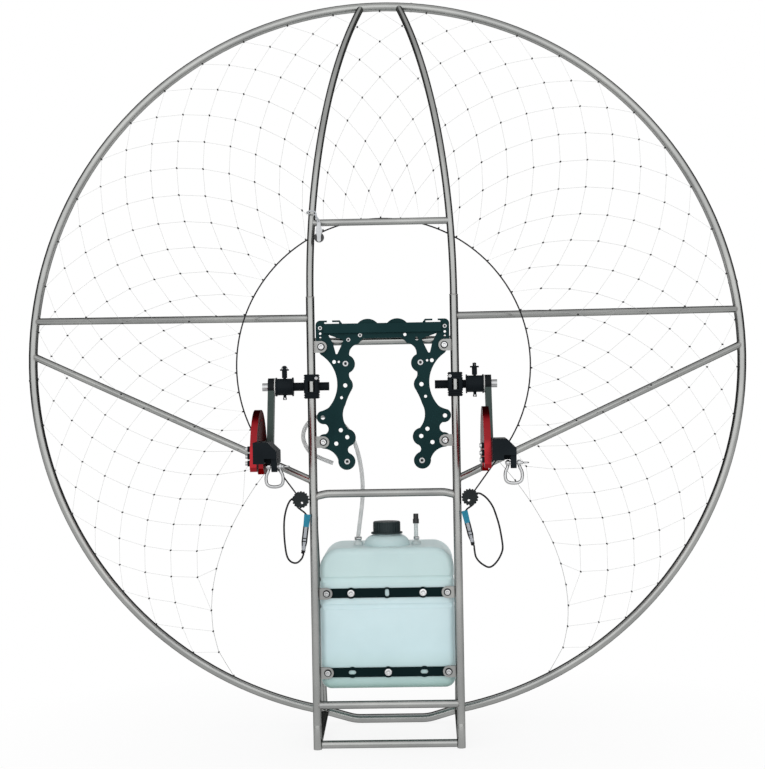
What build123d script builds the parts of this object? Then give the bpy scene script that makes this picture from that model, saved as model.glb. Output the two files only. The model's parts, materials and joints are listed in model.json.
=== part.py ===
from build123d import *
import math
import os

os.makedirs("parts", exist_ok=True)

# Paramotor chassis: millimetres, +Z up, pilot side towards -Y, cage hoop towards +Y.
# Shapes are drawn with the ladder plane at Y = 0 and moved by LADDER_Y on export.

# Cage hoop
HOOP_OD = 1470.0
HOOP_TUBE = 18.0
HOOP_SETBACK = 250.0
HOOP_CLEARANCE = 5.0
HOOP_FLAT_HALF = 75.0
HOOP_BEND_R = 90.0
COLLAR_LENGTH = 4.0
COLLAR_TUBE = 19.2
HOOP_R = (HOOP_OD - HOOP_TUBE) / 2
HOOP_Z = HOOP_OD / 2 + HOOP_CLEARANCE

# Ladder frame
UPRIGHT_HALF = 136.5
UPRIGHT_TUBE = 16.0
UPRIGHT_TOP = 861.0
FOOT_BEND_R = 38.0
BRACE_TUBE = 14.0
BRACE_TOP = 447.0
BRACE_FOOT_INSET = 22.0
SPAR_TUBE = 14.0
SPAR_TOP_HALF = 38.0
CROSS_TUBE = 15.0
CROSS_TOP_Z = 1003.0
CROSS_ENGINE_Z = 776.0
CROSS_MIDDLE_Z = 481.0
CROSS_MIDDLE_RISE = 5.0
CROSS_MIDDLE_BACK = 10.0
CROSS_MIDDLE_KNEE = 24.0
CROSS_LOWER_Z = 84.5
# height on the upright, height above the hoop's centre
SIDE_SPAR = (821.0, 94.0)
LOW_SPAR = (511.0, 23.0)

# Engine plate and beam
PLATE_T = 6.0
PLATE_SIDE_GAP = 1.5
PLATE_HALF = UPRIGHT_HALF - UPRIGHT_TUBE / 2 - PLATE_SIDE_GAP
TAB_T = 4.0
TAB_R = 11.0
TAB_HOLE = 3.0
PLATE_TAB_UPPER = (10.0, 766.0)
PLATE_TAB_LOWER = (11.4, 585.0)
ENGINE_BOLT_R = 4.2
ENGINE_BOLT_IN = 55.8
ENGINE_UPPER_Z = 733.3
ENGINE_LOWER_Z = 547.0
BRIDGE_Z = (781.0, 808.0)
EAR_RISE = 8.0
CROWN_RISE = 10.0
BEAM_HALF = PLATE_HALF - 15.0
BEAM_Z = (791.0, 809.5)
BEAM_T = 5.0

# Swing arms
AXLE_D = 16.0
AXLE_Z = 691.0
AXLE_GAP = 1.0
HUB_D = 32.0
HUB_RIM = 2.0
WASHER_T = 2.0
BOSS_D = 34.0
ARM_T = 12.0
PIVOT_D = 12.0
PIVOT_GAP = 0.35
PIVOT_HEAD_D = 15.0
PIVOT_HEAD_L = 11.0
CLAMP_W = 28.5
CLAMP_H = 46.0
CLAMP_WALL = 4.0
CLAMP_RIDGES = (-18.5, -14.0, 14.0, 18.5)
CLAMP_RIDGE_DEPTH = 1.2
BAR_W = 25.0
BAR_FOOT = (-36.0, 556.0)
ARC_CENTRE = (-130.0, 540.0)
ARC_R = 110.0
ARC_HOLE_R = ARC_R - 17.0
ARC_HOLE_D = 8.0
BLOCK_REACH = 41.0
BLOCK_FRONT = 14.0
LUG_T = 10.0
SHACKLE_ROD = 5.5
SHACKLE_PIN = (-287.0, 553.5)
SHACKLE_GAP = 3.4
SHACKLE_BOW_R = 13.2
SHACKLE_DROP = 21.0

# Fuel tank
TANK_SIDE_GAP = 1.2
TANK_HALF = UPRIGHT_HALF - BRACE_TUBE / 2 - TANK_SIDE_GAP
TANK_Z = (113.0, 381.0)
TANK_FRONT = 9.0
TANK_DEPTH = 176.0
TANK_TOP_R = 40.0
TANK_LOW_R = 20.0
TANK_EDGE_R = 12.0
TANK_GROOVE_D = 14.0
TANK_GROOVE_DEPTH = 2.5
TANK_GROOVE_OFF = 26.0
DOME_R = 45.0
NECK_R = 26.0
CAP_D = 61.0
CAP_GRIP_D = 53.0
CAP_RIBS = 32
CAP_RIB = 2.4
CAP_Z = (402.5, 426.0)
CAP_Y = 80.0
STRAP_H = 18.0
STRAP_T = 3.0
STRAP_UPPER_Z = 296.0
STRAP_LOWER_Z = 145.0
STRAP_BOSS_R = 10.5
STRAP_BOSS_X = 68.6
STRAP_END_X = TANK_HALF - 13.3
STRAP_SLOT = (14.0, 8.0)
OUTLET_X = -56.0
VENT_X = 57.0
FITTING_D = 12.0

# Cords
HOSE_D = 8.0
TAIL_D = 3.5
NET_CORD_D = 4.0
NET_CORD_GAP = 0.5
NET_CLEARANCE = 49.3
NET_LEAD = 104.4
LOCK_D = 28.0
LOCK_TOOTH = 4.0
LOCK_GAP = 0.3
LOCK_HOLE_D = 5.0
LOCK_X = UPRIGHT_HALF + (UPRIGHT_TUBE + LOCK_D + LOCK_TOOTH) / 2 + LOCK_GAP
LOCK_Y = 0.0
LOCK_Z = 476.0
LOCK_T = 16.0
LOCK_TEETH = 16
PULL_TAB_W = 10.0
PULL_TAB_T = 2.0
PULL_TAB_Y = -9.0
PULLEY_INSET = 15.5
PULLEY_DROP = 30.0
PULLEY_D = 18.6
PULLEY_HALF = 6.0
HANGER_GAP = 0.9
PULLEY_CORD_D = 3.0

# Cage net
NET_COLUMNS = 28
NET_ROWS = 6
NET_STRAND = 1.2
NET_LAYER_GAP = 0.6
NET_END_GAP = 0.4
NET_OPEN_HOOP = 27.0
NET_OPEN_RING = 48.0
NET_TOP_SECTOR = 25.0
NET_FIRST_ROW = 0.72

SIDES = {"left": -1, "right": 1}
HUB_OUT = {"left": 35.5, "right": 20.5}
AXLE_IN = {"left": 32.5, "right": 38.5}
HUB_L = 34.0

AXLE_Y = (UPRIGHT_TUBE + AXLE_D) / 2 + AXLE_GAP
PIVOT_REACH = HUB_L + WASHER_T + 2 * PIVOT_GAP + ARM_T + PIVOT_HEAD_L
NET_CORD_R = UPRIGHT_HALF + HUB_OUT["left"] + PIVOT_REACH + NET_CLEARANCE
NET_CORD_Z = LOCK_Z + math.sqrt(NET_CORD_R ** 2 + NET_LEAD ** 2 - LOCK_X ** 2)
FRONT = SHACKLE_PIN[0] - BLOCK_FRONT
REAR = HOOP_SETBACK + COLLAR_TUBE / 2
LADDER_Y = -(FRONT + REAR) / 2
FOOT_Z = UPRIGHT_TUBE / 2


def hoop_z(x):
    return HOOP_Z - math.sqrt(HOOP_R ** 2 - x ** 2)


def rod(path, diameter):
    profile = Plane(origin=path @ 0, z_dir=path % 0) * Circle(diameter / 2)
    return sweep(profile, path=path)


def bar(start, end, diameter):
    return rod(Line(start, end), diameter)


def bent(points, radii, diameter):
    return rod(FilletPolyline(*points, radius=radii), diameter)


def cord_route(name, points):
    vectors = [Vector(*p) for p in points]
    radii = []
    for before, here, after in zip(vectors, vectors[1:], vectors[2:]):
        turn = math.radians((here - before).get_angle(after - here))
        shorter = min((here - before).length, (after - here).length)
        radii.append(0.45 * shorter / math.tan(turn / 2))
    print(name, "smallest radius", round(min(radii), 1))
    return FilletPolyline(*points, radius=radii)


def disc_x(x0, x1, y, z, diameter):
    return Pos((x0 + x1) / 2, y, z) * Rot(0, 90, 0) * Cylinder(diameter / 2, abs(x1 - x0))


def disc_y(x, y0, y1, z, diameter):
    return Pos(x, (y0 + y1) / 2, z) * Rot(90, 0, 0) * Cylinder(diameter / 2, abs(y1 - y0))


def disc_z(x, y, z0, z1, diameter):
    return Pos(x, y, (z0 + z1) / 2) * Cylinder(diameter / 2, abs(z1 - z0))


def block(x0, x1, y0, y1, z0, z1):
    centre = Pos((x0 + x1) / 2, (y0 + y1) / 2, (z0 + z1) / 2)
    return centre * Box(abs(x1 - x0), abs(y1 - y0), abs(z1 - z0))


def plate_xz(sketch, y0, y1):
    plane = Plane(origin=(0, y0, 0), x_dir=(1, 0, 0), z_dir=(0, -1, 0))
    return extrude(plane * sketch, amount=-(y1 - y0))


def plate_yz(sketch, x0, x1):
    plane = Plane(origin=(x0, 0, 0), x_dir=(0, 1, 0), z_dir=(1, 0, 0))
    return extrude(plane * sketch, amount=x1 - x0)


def dot(x, z, r):
    return Pos(x, z) * Circle(r)


nodes = {}

# Hoop: four arcs, a bent bottom bar and a collar at each joint
def hoop_point(angle):
    a = math.radians(angle)
    return (HOOP_R * math.cos(a), HOOP_SETBACK, HOOP_Z + HOOP_R * math.sin(a))


def hoop_arc(a0, a1, diameter):
    arc = ThreePointArc(hoop_point(a0), hoop_point((a0 + a1) / 2), hoop_point(a1))
    return rod(arc, diameter)


HOOP_FOOT_ANGLE = -90 + math.degrees(math.asin(UPRIGHT_HALF / HOOP_R))
COLLAR_SPAN = math.degrees(COLLAR_LENGTH / HOOP_R)
JOINT_ANGLES = {"right": 12.0, "top": 85.1, "left": 182.0}
HOOP_ARCS = {
    # start angle, end angle, which end has the collar
    "hoop_lower_right": (HOOP_FOOT_ANGLE, JOINT_ANGLES["right"], 1),
    "hoop_upper_right": (JOINT_ANGLES["right"], JOINT_ANGLES["top"], 1),
    "hoop_upper_left": (JOINT_ANGLES["top"], JOINT_ANGLES["left"], 0),
    "hoop_lower_left": (JOINT_ANGLES["left"], 180 - HOOP_FOOT_ANGLE, -1),
}
for name, (a0, a1, collar) in HOOP_ARCS.items():
    nodes[name] = hoop_arc(a0, a1, HOOP_TUBE)
    if collar > 0:
        nodes[name] += hoop_arc(a1 - COLLAR_SPAN, a1, COLLAR_TUBE)
    if collar < 0:
        nodes[name] += hoop_arc(a0, a0 + COLLAR_SPAN, COLLAR_TUBE)
foot_x = UPRIGHT_HALF
foot_z = hoop_z(foot_x)
flat_z = HOOP_TUBE / 2
nodes["hoop_bottom"] = bent(
    [
        (-foot_x, HOOP_SETBACK, foot_z),
        (-HOOP_FLAT_HALF, HOOP_SETBACK, flat_z),
        (HOOP_FLAT_HALF, HOOP_SETBACK, flat_z),
        (foot_x, HOOP_SETBACK, foot_z),
    ],
    [HOOP_BEND_R, HOOP_BEND_R],
    HOOP_TUBE,
)
for side in SIDES:
    nodes["hoop_bottom"] -= nodes["hoop_lower_" + side]

# Ladder: uprights run down, turn rearwards along the floor and meet the hoop
for side, s in SIDES.items():
    x = s * UPRIGHT_HALF
    nodes["upright_" + side] = bent(
        [(x, 0, UPRIGHT_TOP), (x, 0, FOOT_Z), (x, HOOP_SETBACK, foot_z)],
        [FOOT_BEND_R],
        UPRIGHT_TUBE,
    )
    nodes["upright_" + side] -= nodes["hoop_bottom"]
    nodes["upright_" + side] -= nodes["hoop_lower_" + side]
    brace_y = HOOP_SETBACK - BRACE_FOOT_INSET
    brace_z = FOOT_Z + (foot_z - FOOT_Z) * brace_y / HOOP_SETBACK
    brace = bar((x, brace_y, brace_z), (x, 0, BRACE_TOP), BRACE_TUBE)
    nodes["rear_brace_" + side] = brace - nodes["upright_" + side]

# Upper spars leave the uprights upright and curve in and back to the hoop's top
spar_end_z = HOOP_Z + math.sqrt(HOOP_R ** 2 - SPAR_TOP_HALF ** 2)
spar_run = math.hypot(UPRIGHT_HALF - SPAR_TOP_HALF, HOOP_SETBACK)
spar_rise = spar_end_z - UPRIGHT_TOP
spar_sweep = 2 * math.atan2(spar_run, spar_rise)
spar_r = spar_rise / math.sin(spar_sweep)


def spar_point(turn):
    run = spar_r * (1 - math.cos(turn)) / spar_run
    x = UPRIGHT_HALF - run * (UPRIGHT_HALF - SPAR_TOP_HALF)
    return x, run * HOOP_SETBACK, UPRIGHT_TOP + spar_r * math.sin(turn)


for side, s in SIDES.items():
    points = [spar_point(spar_sweep * k / 2) for k in range(3)]
    arc = ThreePointArc(*[(s * x, y, z) for x, y, z in points])
    spar = rod(arc, SPAR_TUBE) - nodes["hoop_upper_left"]
    nodes["spar_top_" + side] = spar - nodes["hoop_upper_right"]

# Side and diagonal spars tie the hoop to the uprights
for side, s in SIDES.items():
    for name, (z_in, rise) in {"side": SIDE_SPAR, "low": LOW_SPAR}.items():
        x_out = math.sqrt(HOOP_R ** 2 - rise ** 2)
        spar = bar((s * UPRIGHT_HALF, 0, z_in), (s * x_out, HOOP_SETBACK, HOOP_Z + rise), SPAR_TUBE)
        for tube in ("upright_", "hoop_upper_", "hoop_lower_"):
            spar -= nodes[tube + side]
        nodes["spar_%s_%s" % (name, side)] = spar

# Cross tubes
top_turn = math.asin((CROSS_TOP_Z - UPRIGHT_TOP) / spar_r)
top_x, top_y, top_z = spar_point(top_turn)
engine_y = PLATE_T + CROSS_TUBE / 2 + 0.2
ladder = nodes["upright_left"] + nodes["upright_right"]
cross_top = bar((-top_x, top_y, top_z), (top_x, top_y, top_z), CROSS_TUBE - 2)
nodes["cross_tube_top"] = cross_top - nodes["spar_top_left"] - nodes["spar_top_right"]


def cross_tube(y, z, diameter):
    return bar((-UPRIGHT_HALF, y, z), (UPRIGHT_HALF, y, z), diameter) - ladder


nodes["cross_tube_engine"] = cross_tube(engine_y, CROSS_ENGINE_Z, CROSS_TUBE)
nodes["cross_tube_lower"] = cross_tube(0, CROSS_LOWER_Z, CROSS_TUBE)
nodes["cross_tube_foot"] = cross_tube(FOOT_Z, FOOT_Z, CROSS_TUBE)
knee_x = UPRIGHT_HALF - CROSS_MIDDLE_KNEE
middle_z = CROSS_MIDDLE_Z + CROSS_MIDDLE_RISE
nodes["cross_tube_middle"] = bent(
    [
        (-UPRIGHT_HALF, 0, CROSS_MIDDLE_Z),
        (-knee_x, CROSS_MIDDLE_BACK, middle_z),
        (knee_x, CROSS_MIDDLE_BACK, middle_z),
        (UPRIGHT_HALF, 0, CROSS_MIDDLE_Z),
    ],
    [30.0, 30.0],
    CROSS_TUBE,
) - ladder

# Engine plate: an inverted U cut from sheet, bolted behind welded tabs.
# Each leg is drawn once, measured inwards from the plate's outer edge, then mirrored.
LEG_ARCS = [
    # start, through, end, each as inwards, z
    ((0.0, 775.0), (3.0, 762.0), (9.0, 751.0)),
    ((9.0, 751.0), (39.4, 694.0), (22.0, 650.0)),
    ((22.0, 650.0), (13.0, 645.5), (5.0, 643.0)),
    ((5.0, 643.0), (-0.6, 634.0), (3.0, 623.0)),
    ((3.0, 623.0), (8.5, 619.5), (15.0, 619.0)),
    ((15.0, 619.0), (21.4, 609.5), (15.0, 600.0)),
    ((15.0, 600.0), (-0.2, 588.0), (11.0, 572.5)),
    ((11.0, 572.5), (28.0, 566.0), (39.0, 550.0)),
    ((39.0, 550.0), (55.8, 531.3), (71.0, 551.0)),
    ((71.0, 551.0), (67.0, 558.0), (60.0, 563.0)),
    ((60.0, 563.0), (57.5, 570.0), (63.0, 577.0)),
    ((63.0, 577.0), (72.8, 592.0), (59.0, 609.0)),
    ((59.0, 609.0), (49.5, 629.0), (54.0, 655.0)),
    ((54.0, 655.0), (61.0, 673.0), (67.0, 684.0)),
    ((67.0, 684.0), (69.0, 693.0), (65.0, 703.0)),
    ((65.0, 703.0), (62.0, 711.0), (62.5, 716.0)),
    ((62.5, 716.0), (73.6, 732.0), (63.0, 749.0)),
    ((63.0, 749.0), (67.0, 763.0), (81.0, 770.5)),
]
ear_z = BRIDGE_Z[1] + EAR_RISE
leg_edges = [ThreePointArc(a, b, c) for a, b, c in LEG_ARCS]
leg_edges += [
    Line((81.0, 770.5), (89.0, BRIDGE_Z[0])),
    Line((89.0, BRIDGE_Z[0]), (PLATE_HALF, BRIDGE_Z[0])),
    Line((PLATE_HALF, BRIDGE_Z[0]), (PLATE_HALF, BRIDGE_Z[1])),
    Line((PLATE_HALF, BRIDGE_Z[1]), (119.0, BRIDGE_Z[1])),
    ThreePointArc((119.0, BRIDGE_Z[1]), (98.6, BRIDGE_Z[1] + CROWN_RISE), (79.0, BRIDGE_Z[1])),
    Line((79.0, BRIDGE_Z[1]), (52.0, BRIDGE_Z[1])),
    Line((52.0, BRIDGE_Z[1]), (46.0, ear_z)),
    Line((46.0, ear_z), (9.0, ear_z)),
    ThreePointArc((9.0, ear_z), (2.6, ear_z - 2.6), (0.0, ear_z - 9.0)),
    Line((0.0, ear_z - 9.0), (0.0, 775.0)),
]
leg = make_face(Curve() + leg_edges)
LEG_HOLES = [
    # inwards, z, radius
    (ENGINE_BOLT_IN, ENGINE_UPPER_Z, ENGINE_BOLT_R),
    (ENGINE_BOLT_IN, ENGINE_LOWER_Z, ENGINE_BOLT_R),
    (54.5, 692.0, 4.0),
    (47.1, 668.7, 2.8),
    (10.8, 631.6, 4.0),
    (44.6, 607.0, 4.0),
    (56.6, 593.4, 4.0),
    (35.5, 581.5, 4.0),
    (34.0, 737.0, 3.6),
    (43.0, 737.0, 2.2),
    (62.0, 778.6, 3.4),
    (84.4, 786.8, 3.0),
    (8.5, 801.6, 3.4),
    (8.5, 791.3, 2.4),
    (8.5, 783.0, 2.2),
    PLATE_TAB_UPPER + (TAB_HOLE,),
    PLATE_TAB_LOWER + (TAB_HOLE,),
]
for inwards, z, radius in LEG_HOLES:
    leg -= dot(inwards, z, radius)
LEG_WINDOWS = [
    # corners as inwards, z
    ((24.0, 788.5), (52.5, 778.5), (49.8, 771.0), (40.5, 752.0), (37.5, 752.0), (32.7, 771.0)),
    ((16.6, 809.8), (44.7, 809.8), (44.7, 812.8), (16.6, 812.8)),
    ((21.6, 812.0), (31.7, 812.0), (31.7, 817.0), (21.6, 817.0)),
]
for corners in LEG_WINDOWS:
    leg -= make_face(Polyline(*corners, close=True))
right_leg = Pos(PLATE_HALF, 0) * mirror(leg, about=Plane.YZ)
engine_sketch = right_leg + mirror(right_leg, about=Plane.YZ)
nodes["engine_plate"] = plate_xz(engine_sketch, 0, PLATE_T)
beam = block(-BEAM_HALF, BEAM_HALF, -BEAM_T, 0, BEAM_Z[0], BEAM_Z[1])
nodes["engine_beam"] = fillet(beam.edges().filter_by(Axis.X).group_by(Axis.Y)[0], 1.5)


def welded_tab(s, x, z, y0, y1):
    foot = UPRIGHT_HALF
    ear = dot(s * x, z, TAB_R)
    strip = make_face(
        Polyline(
            (s * x, z - TAB_R),
            (s * foot, z - TAB_R),
            (s * foot, z + TAB_R),
            (s * x, z + TAB_R),
            close=True,
        )
    )
    return plate_xz(ear + strip - dot(s * x, z, TAB_HOLE), y0, y1)


plate_tabs = []
for s in SIDES.values():
    for inwards, z in (PLATE_TAB_UPPER, PLATE_TAB_LOWER):
        plate_tabs.append(welded_tab(s, PLATE_HALF - inwards, z, -TAB_T, 0) - ladder)
nodes["plate_tabs"] = Compound(children=[t.solid() for t in plate_tabs])

# Fuel tank with its neck, cap, straps and fittings
tank_sketch = make_face(
    FilletPolyline(
        (-TANK_HALF, TANK_Z[0]),
        (TANK_HALF, TANK_Z[0]),
        (TANK_HALF, TANK_Z[1]),
        (-TANK_HALF, TANK_Z[1]),
        radius=[TANK_LOW_R, TANK_LOW_R, TANK_TOP_R, TANK_TOP_R],
        close=True,
    )
)
tank_back = TANK_FRONT + TANK_DEPTH
tank = plate_xz(tank_sketch, TANK_FRONT, tank_back)
tank = fillet(tank.edges().group_by(Axis.Y)[-1] + tank.edges().group_by(Axis.Y)[0], TANK_EDGE_R)
groove_out = TANK_GROOVE_D / 2 - TANK_GROOVE_DEPTH
for z in (STRAP_UPPER_Z - TANK_GROOVE_OFF, STRAP_UPPER_Z + TANK_GROOVE_OFF):
    for y in (TANK_FRONT - groove_out, tank_back + groove_out):
        tank -= disc_x(-TANK_HALF - 1, TANK_HALF + 1, y, z, TANK_GROOVE_D)
    for s in SIDES.values():
        x = s * (TANK_HALF + groove_out)
        tank -= disc_y(x, TANK_FRONT - 1, tank_back + 1, z, TANK_GROOVE_D)
dome_h = CAP_Z[0] - TANK_Z[1]
dome = make_face(
    Curve()
    + [
        Line((0, -2), (DOME_R, -2)),
        ThreePointArc((DOME_R, -2), (0.87 * DOME_R, 0.6 * dome_h), (NECK_R, dome_h - 2)),
        Line((NECK_R, dome_h - 2), (NECK_R, dome_h - 0.5)),
        Line((NECK_R, dome_h - 0.5), (0, dome_h - 0.5)),
        Line((0, dome_h - 0.5), (0, -2)),
    ]
)
nodes["fuel_tank"] = tank + Pos(0, CAP_Y, TANK_Z[1]) * revolve(Plane.XZ * dome, axis=Axis.Z)
grip = Circle(CAP_GRIP_D / 2 - CAP_RIB / 2)
for place in PolarLocations(CAP_GRIP_D / 2 - CAP_RIB / 2, CAP_RIBS):
    grip += place * Rectangle(CAP_RIB, CAP_RIB)
cap = disc_z(0, CAP_Y, CAP_Z[0], CAP_Z[0] + 3, CAP_D)
cap += Pos(0, CAP_Y, CAP_Z[0] + 3) * extrude(grip, amount=CAP_Z[1] - CAP_Z[0] - 4.5)
cap += disc_z(0, CAP_Y, CAP_Z[1] - 1.5, CAP_Z[1], CAP_GRIP_D - 2)
nodes["fuel_cap"] = cap
outlet = disc_z(OUTLET_X, CAP_Y, TANK_Z[1], TANK_Z[1] + 7, FITTING_D + 6)
outlet += disc_z(OUTLET_X, CAP_Y, TANK_Z[1] + 7, TANK_Z[1] + 15, FITTING_D)
nodes["fuel_outlet"] = outlet
vent = disc_z(VENT_X, CAP_Y, TANK_Z[1], TANK_Z[1] + 6, FITTING_D + 6)
vent += disc_z(VENT_X, CAP_Y, TANK_Z[1] + 6, TANK_Z[1] + 40, FITTING_D - 4)
vent += disc_z(VENT_X, CAP_Y, TANK_Z[1] + 40, TANK_Z[1] + 49, FITTING_D)
vent += disc_z(VENT_X, CAP_Y, TANK_Z[1] + 49, TANK_Z[1] + 59, FITTING_D - 2)
nodes["tank_vent"] = vent

STRAPS = {
    # height, slot places, slot width, slot height
    "tank_strap_upper": (STRAP_UPPER_Z, (0.0,), STRAP_SLOT[1], STRAP_SLOT[0]),
    "tank_strap_lower": (STRAP_LOWER_Z, (-STRAP_BOSS_X, STRAP_BOSS_X), STRAP_SLOT[0], STRAP_SLOT[1]),
}
tank_tabs = []
strap_y = TANK_FRONT - STRAP_T
for name, (z, slots, slot_w, slot_h) in STRAPS.items():
    band = Pos(0, z) * Rectangle(2 * STRAP_END_X, STRAP_H)
    band += dot(-STRAP_END_X, z, STRAP_H / 2) + dot(STRAP_END_X, z, STRAP_H / 2)
    for x in (-STRAP_BOSS_X, 0, STRAP_BOSS_X):
        band += dot(x, z, STRAP_BOSS_R)
    for x in slots:
        band -= Pos(x, z) * RectangleRounded(slot_w, slot_h, STRAP_SLOT[1] / 2 - 0.2)
    nodes[name] = plate_xz(band, strap_y, TANK_FRONT)
    for s in SIDES.values():
        tank_tabs.append(welded_tab(s, STRAP_END_X, z, strap_y - TAB_T, strap_y) - ladder)
nodes["tank_tabs"] = Compound(children=[t.solid() for t in tank_tabs])

# Swing arms: clamp and axle behind each upright, hub, pivot bolt, then the moving arm
arc_y, arc_z = ARC_CENTRE
moon = make_face(
    Curve()
    + [
        ThreePointArc((arc_y + ARC_R, arc_z), (arc_y, arc_z + ARC_R), (arc_y - ARC_R, arc_z + 10)),
        Line((arc_y - ARC_R, arc_z + 10), (arc_y - ARC_R + 6, arc_z + 2)),
        Line((arc_y - ARC_R + 6, arc_z + 2), (arc_y - ARC_R + 36, arc_z + 2)),
        ThreePointArc(
            (arc_y - ARC_R + 36, arc_z + 2), (arc_y - 30, arc_z + 38), (arc_y + 15, arc_z + 2)
        ),
        Line((arc_y + 15, arc_z + 2), (arc_y + 40, arc_z - 10)),
        Line((arc_y + 40, arc_z - 10), (arc_y + ARC_R - 8, arc_z - 10)),
        Line((arc_y + ARC_R - 8, arc_z - 10), (arc_y + ARC_R, arc_z)),
    ]
)
for angle in range(18, 151, 12):
    a = math.radians(angle)
    moon -= dot(arc_y + ARC_HOLE_R * math.cos(a), arc_z + ARC_HOLE_R * math.sin(a), ARC_HOLE_D / 2)

bar_dy = BAR_FOOT[0] - AXLE_Y
bar_dz = BAR_FOOT[1] - AXLE_Z
bar_len = math.hypot(bar_dy, bar_dz)
side_y = -bar_dz / bar_len * BAR_W / 2
side_z = bar_dy / bar_len * BAR_W / 2
bar_sketch = make_face(
    Polyline(
        (AXLE_Y + side_y, AXLE_Z + side_z),
        (BAR_FOOT[0] + side_y, BAR_FOOT[1] + side_z),
        (BAR_FOOT[0] - side_y, BAR_FOOT[1] - side_z),
        (AXLE_Y - side_y, AXLE_Z - side_z),
        close=True,
    )
)
bar_sketch += dot(AXLE_Y, AXLE_Z, BOSS_D / 2) + dot(BAR_FOOT[0], BAR_FOOT[1], BAR_W / 2)
bar_sketch -= dot(AXLE_Y, AXLE_Z, PIVOT_D / 2 + PIVOT_GAP)

pin_y, pin_z = SHACKLE_PIN
eye_r = SHACKLE_ROD / 2 + SHACKLE_GAP + 3.4
for side, s in SIDES.items():
    x_up = s * UPRIGHT_HALF
    hub0 = s * (UPRIGHT_HALF + HUB_OUT[side])
    hub1 = hub0 + s * HUB_L
    axle = disc_x(s * (UPRIGHT_HALF - AXLE_IN[side]), hub1, AXLE_Y, AXLE_Z, AXLE_D)
    hub = disc_x(hub0, hub1, AXLE_Y, AXLE_Z, HUB_D)
    hub += disc_x(hub0, hub0 + s * 2.5, AXLE_Y, AXLE_Z, HUB_D + 2 * HUB_RIM)
    hub += disc_x(hub1 - s * 2.5, hub1, AXLE_Y, AXLE_Z, HUB_D + 2 * HUB_RIM)
    pin_x = (hub0 + hub1) / 2
    pin = disc_z(pin_x, AXLE_Y, AXLE_Z - HUB_D / 2 - 6, AXLE_Z + HUB_D / 2 + 18, 6)
    hub -= disc_x(hub0, hub1, AXLE_Y, AXLE_Z, AXLE_D) + pin
    washer = disc_x(hub1, hub1 + s * WASHER_T, AXLE_Y, AXLE_Z, BOSS_D)
    boss0 = hub1 + s * (WASHER_T + PIVOT_GAP)
    boss1 = boss0 + s * ARM_T
    bolt0 = boss1 + s * PIVOT_GAP
    bolt = disc_x(hub1 - s * 18, bolt0, AXLE_Y, AXLE_Z, PIVOT_D)
    bolt += disc_x(bolt0, bolt0 + s * PIVOT_HEAD_L, AXLE_Y, AXLE_Z, PIVOT_HEAD_D)
    nodes["axle_" + side] = axle - bolt - pin
    nodes["arm_hub_" + side] = hub
    nodes["hub_washer_" + side] = washer - disc_x(hub1, boss0, AXLE_Y, AXLE_Z, PIVOT_D)
    nodes["pivot_bolt_" + side] = bolt - pin
    pin += disc_z(pin_x, AXLE_Y, AXLE_Z + HUB_D / 2 + 1, AXLE_Z + HUB_D / 2 + 15, 10)
    pin += disc_z(pin_x, AXLE_Y, AXLE_Z + HUB_D / 2 + 15, AXLE_Z + HUB_D / 2 + 18, 17)
    pin += disc_z(pin_x, AXLE_Y, AXLE_Z + HUB_D / 2 + 18, AXLE_Z + HUB_D / 2 + 24, 7)
    nodes["lock_pin_" + side] = pin

    clamp_front = -UPRIGHT_TUBE / 2 - CLAMP_WALL
    clamp_back = AXLE_Y + AXLE_D / 2 + CLAMP_WALL
    half_w = CLAMP_W / 2
    half_h = CLAMP_H / 2
    clamp = block(x_up - half_w, x_up + half_w, clamp_front, clamp_back, AXLE_Z - half_h, AXLE_Z + half_h)
    clamp = fillet(clamp.edges().filter_by(Axis.Z), 5)
    clamp = chamfer(clamp.edges().group_by(Axis.Z)[0] + clamp.edges().group_by(Axis.Z)[-1], 2)
    deep = CLAMP_RIDGE_DEPTH
    core = block(
        x_up - half_w + deep, x_up + half_w - deep,
        clamp_front + deep, clamp_back - deep,
        AXLE_Z - half_h, AXLE_Z + half_h,
    )
    core = fillet(core.edges().filter_by(Axis.Z), 5 - deep)
    for ridge in CLAMP_RIDGES:
        z = AXLE_Z + ridge
        sleeve = block(x_up - CLAMP_W, x_up + CLAMP_W, clamp_front - 1, clamp_back + 1, z - deep, z + deep)
        clamp -= sleeve - core
    clamp -= disc_z(x_up, 0, AXLE_Z - CLAMP_H, AXLE_Z + CLAMP_H, UPRIGHT_TUBE)
    clamp -= disc_x(x_up - CLAMP_W, x_up + CLAMP_W, AXLE_Y, AXLE_Z, AXLE_D)
    clamp -= block(x_up - 6.5, x_up + 6.5, clamp_front - 1, 0, AXLE_Z - 10, AXLE_Z + 10)
    nodes["axle_clamp_" + side] = clamp

    bar_lo = min(boss0, boss1)
    nodes["arm_bar_" + side] = plate_yz(bar_sketch, bar_lo, bar_lo + ARM_T)
    nodes["arm_arc_" + side] = plate_yz(moon, bar_lo - ARM_T, bar_lo)
    lug_hi = bar_lo + BLOCK_REACH
    lug_lo = lug_hi - LUG_T
    lump = block(bar_lo, lug_hi, pin_y - BLOCK_FRONT, -ARC_R + arc_y + 26, pin_z + 5, pin_z + 42)
    lump = chamfer(lump.edges().filter_by(Axis.Y).sort_by(Axis.X)[-2:].sort_by(Axis.Z)[-1:], 16)
    ear = disc_x(lug_lo, lug_hi, pin_y, pin_z, 2 * eye_r)
    ear += block(lug_lo, lug_hi, pin_y - eye_r, pin_y + eye_r, pin_z, pin_z + 20)
    lump = lump - block(lug_lo - 12, lug_hi + 1, pin_y - 20, pin_y + 20, pin_z, pin_z + 14) + ear
    eye = disc_x(lug_lo - 1, lug_hi + 1, pin_y, pin_z, SHACKLE_ROD + 2 * PIVOT_GAP)
    nodes["arm_block_" + side] = lump - eye

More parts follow.
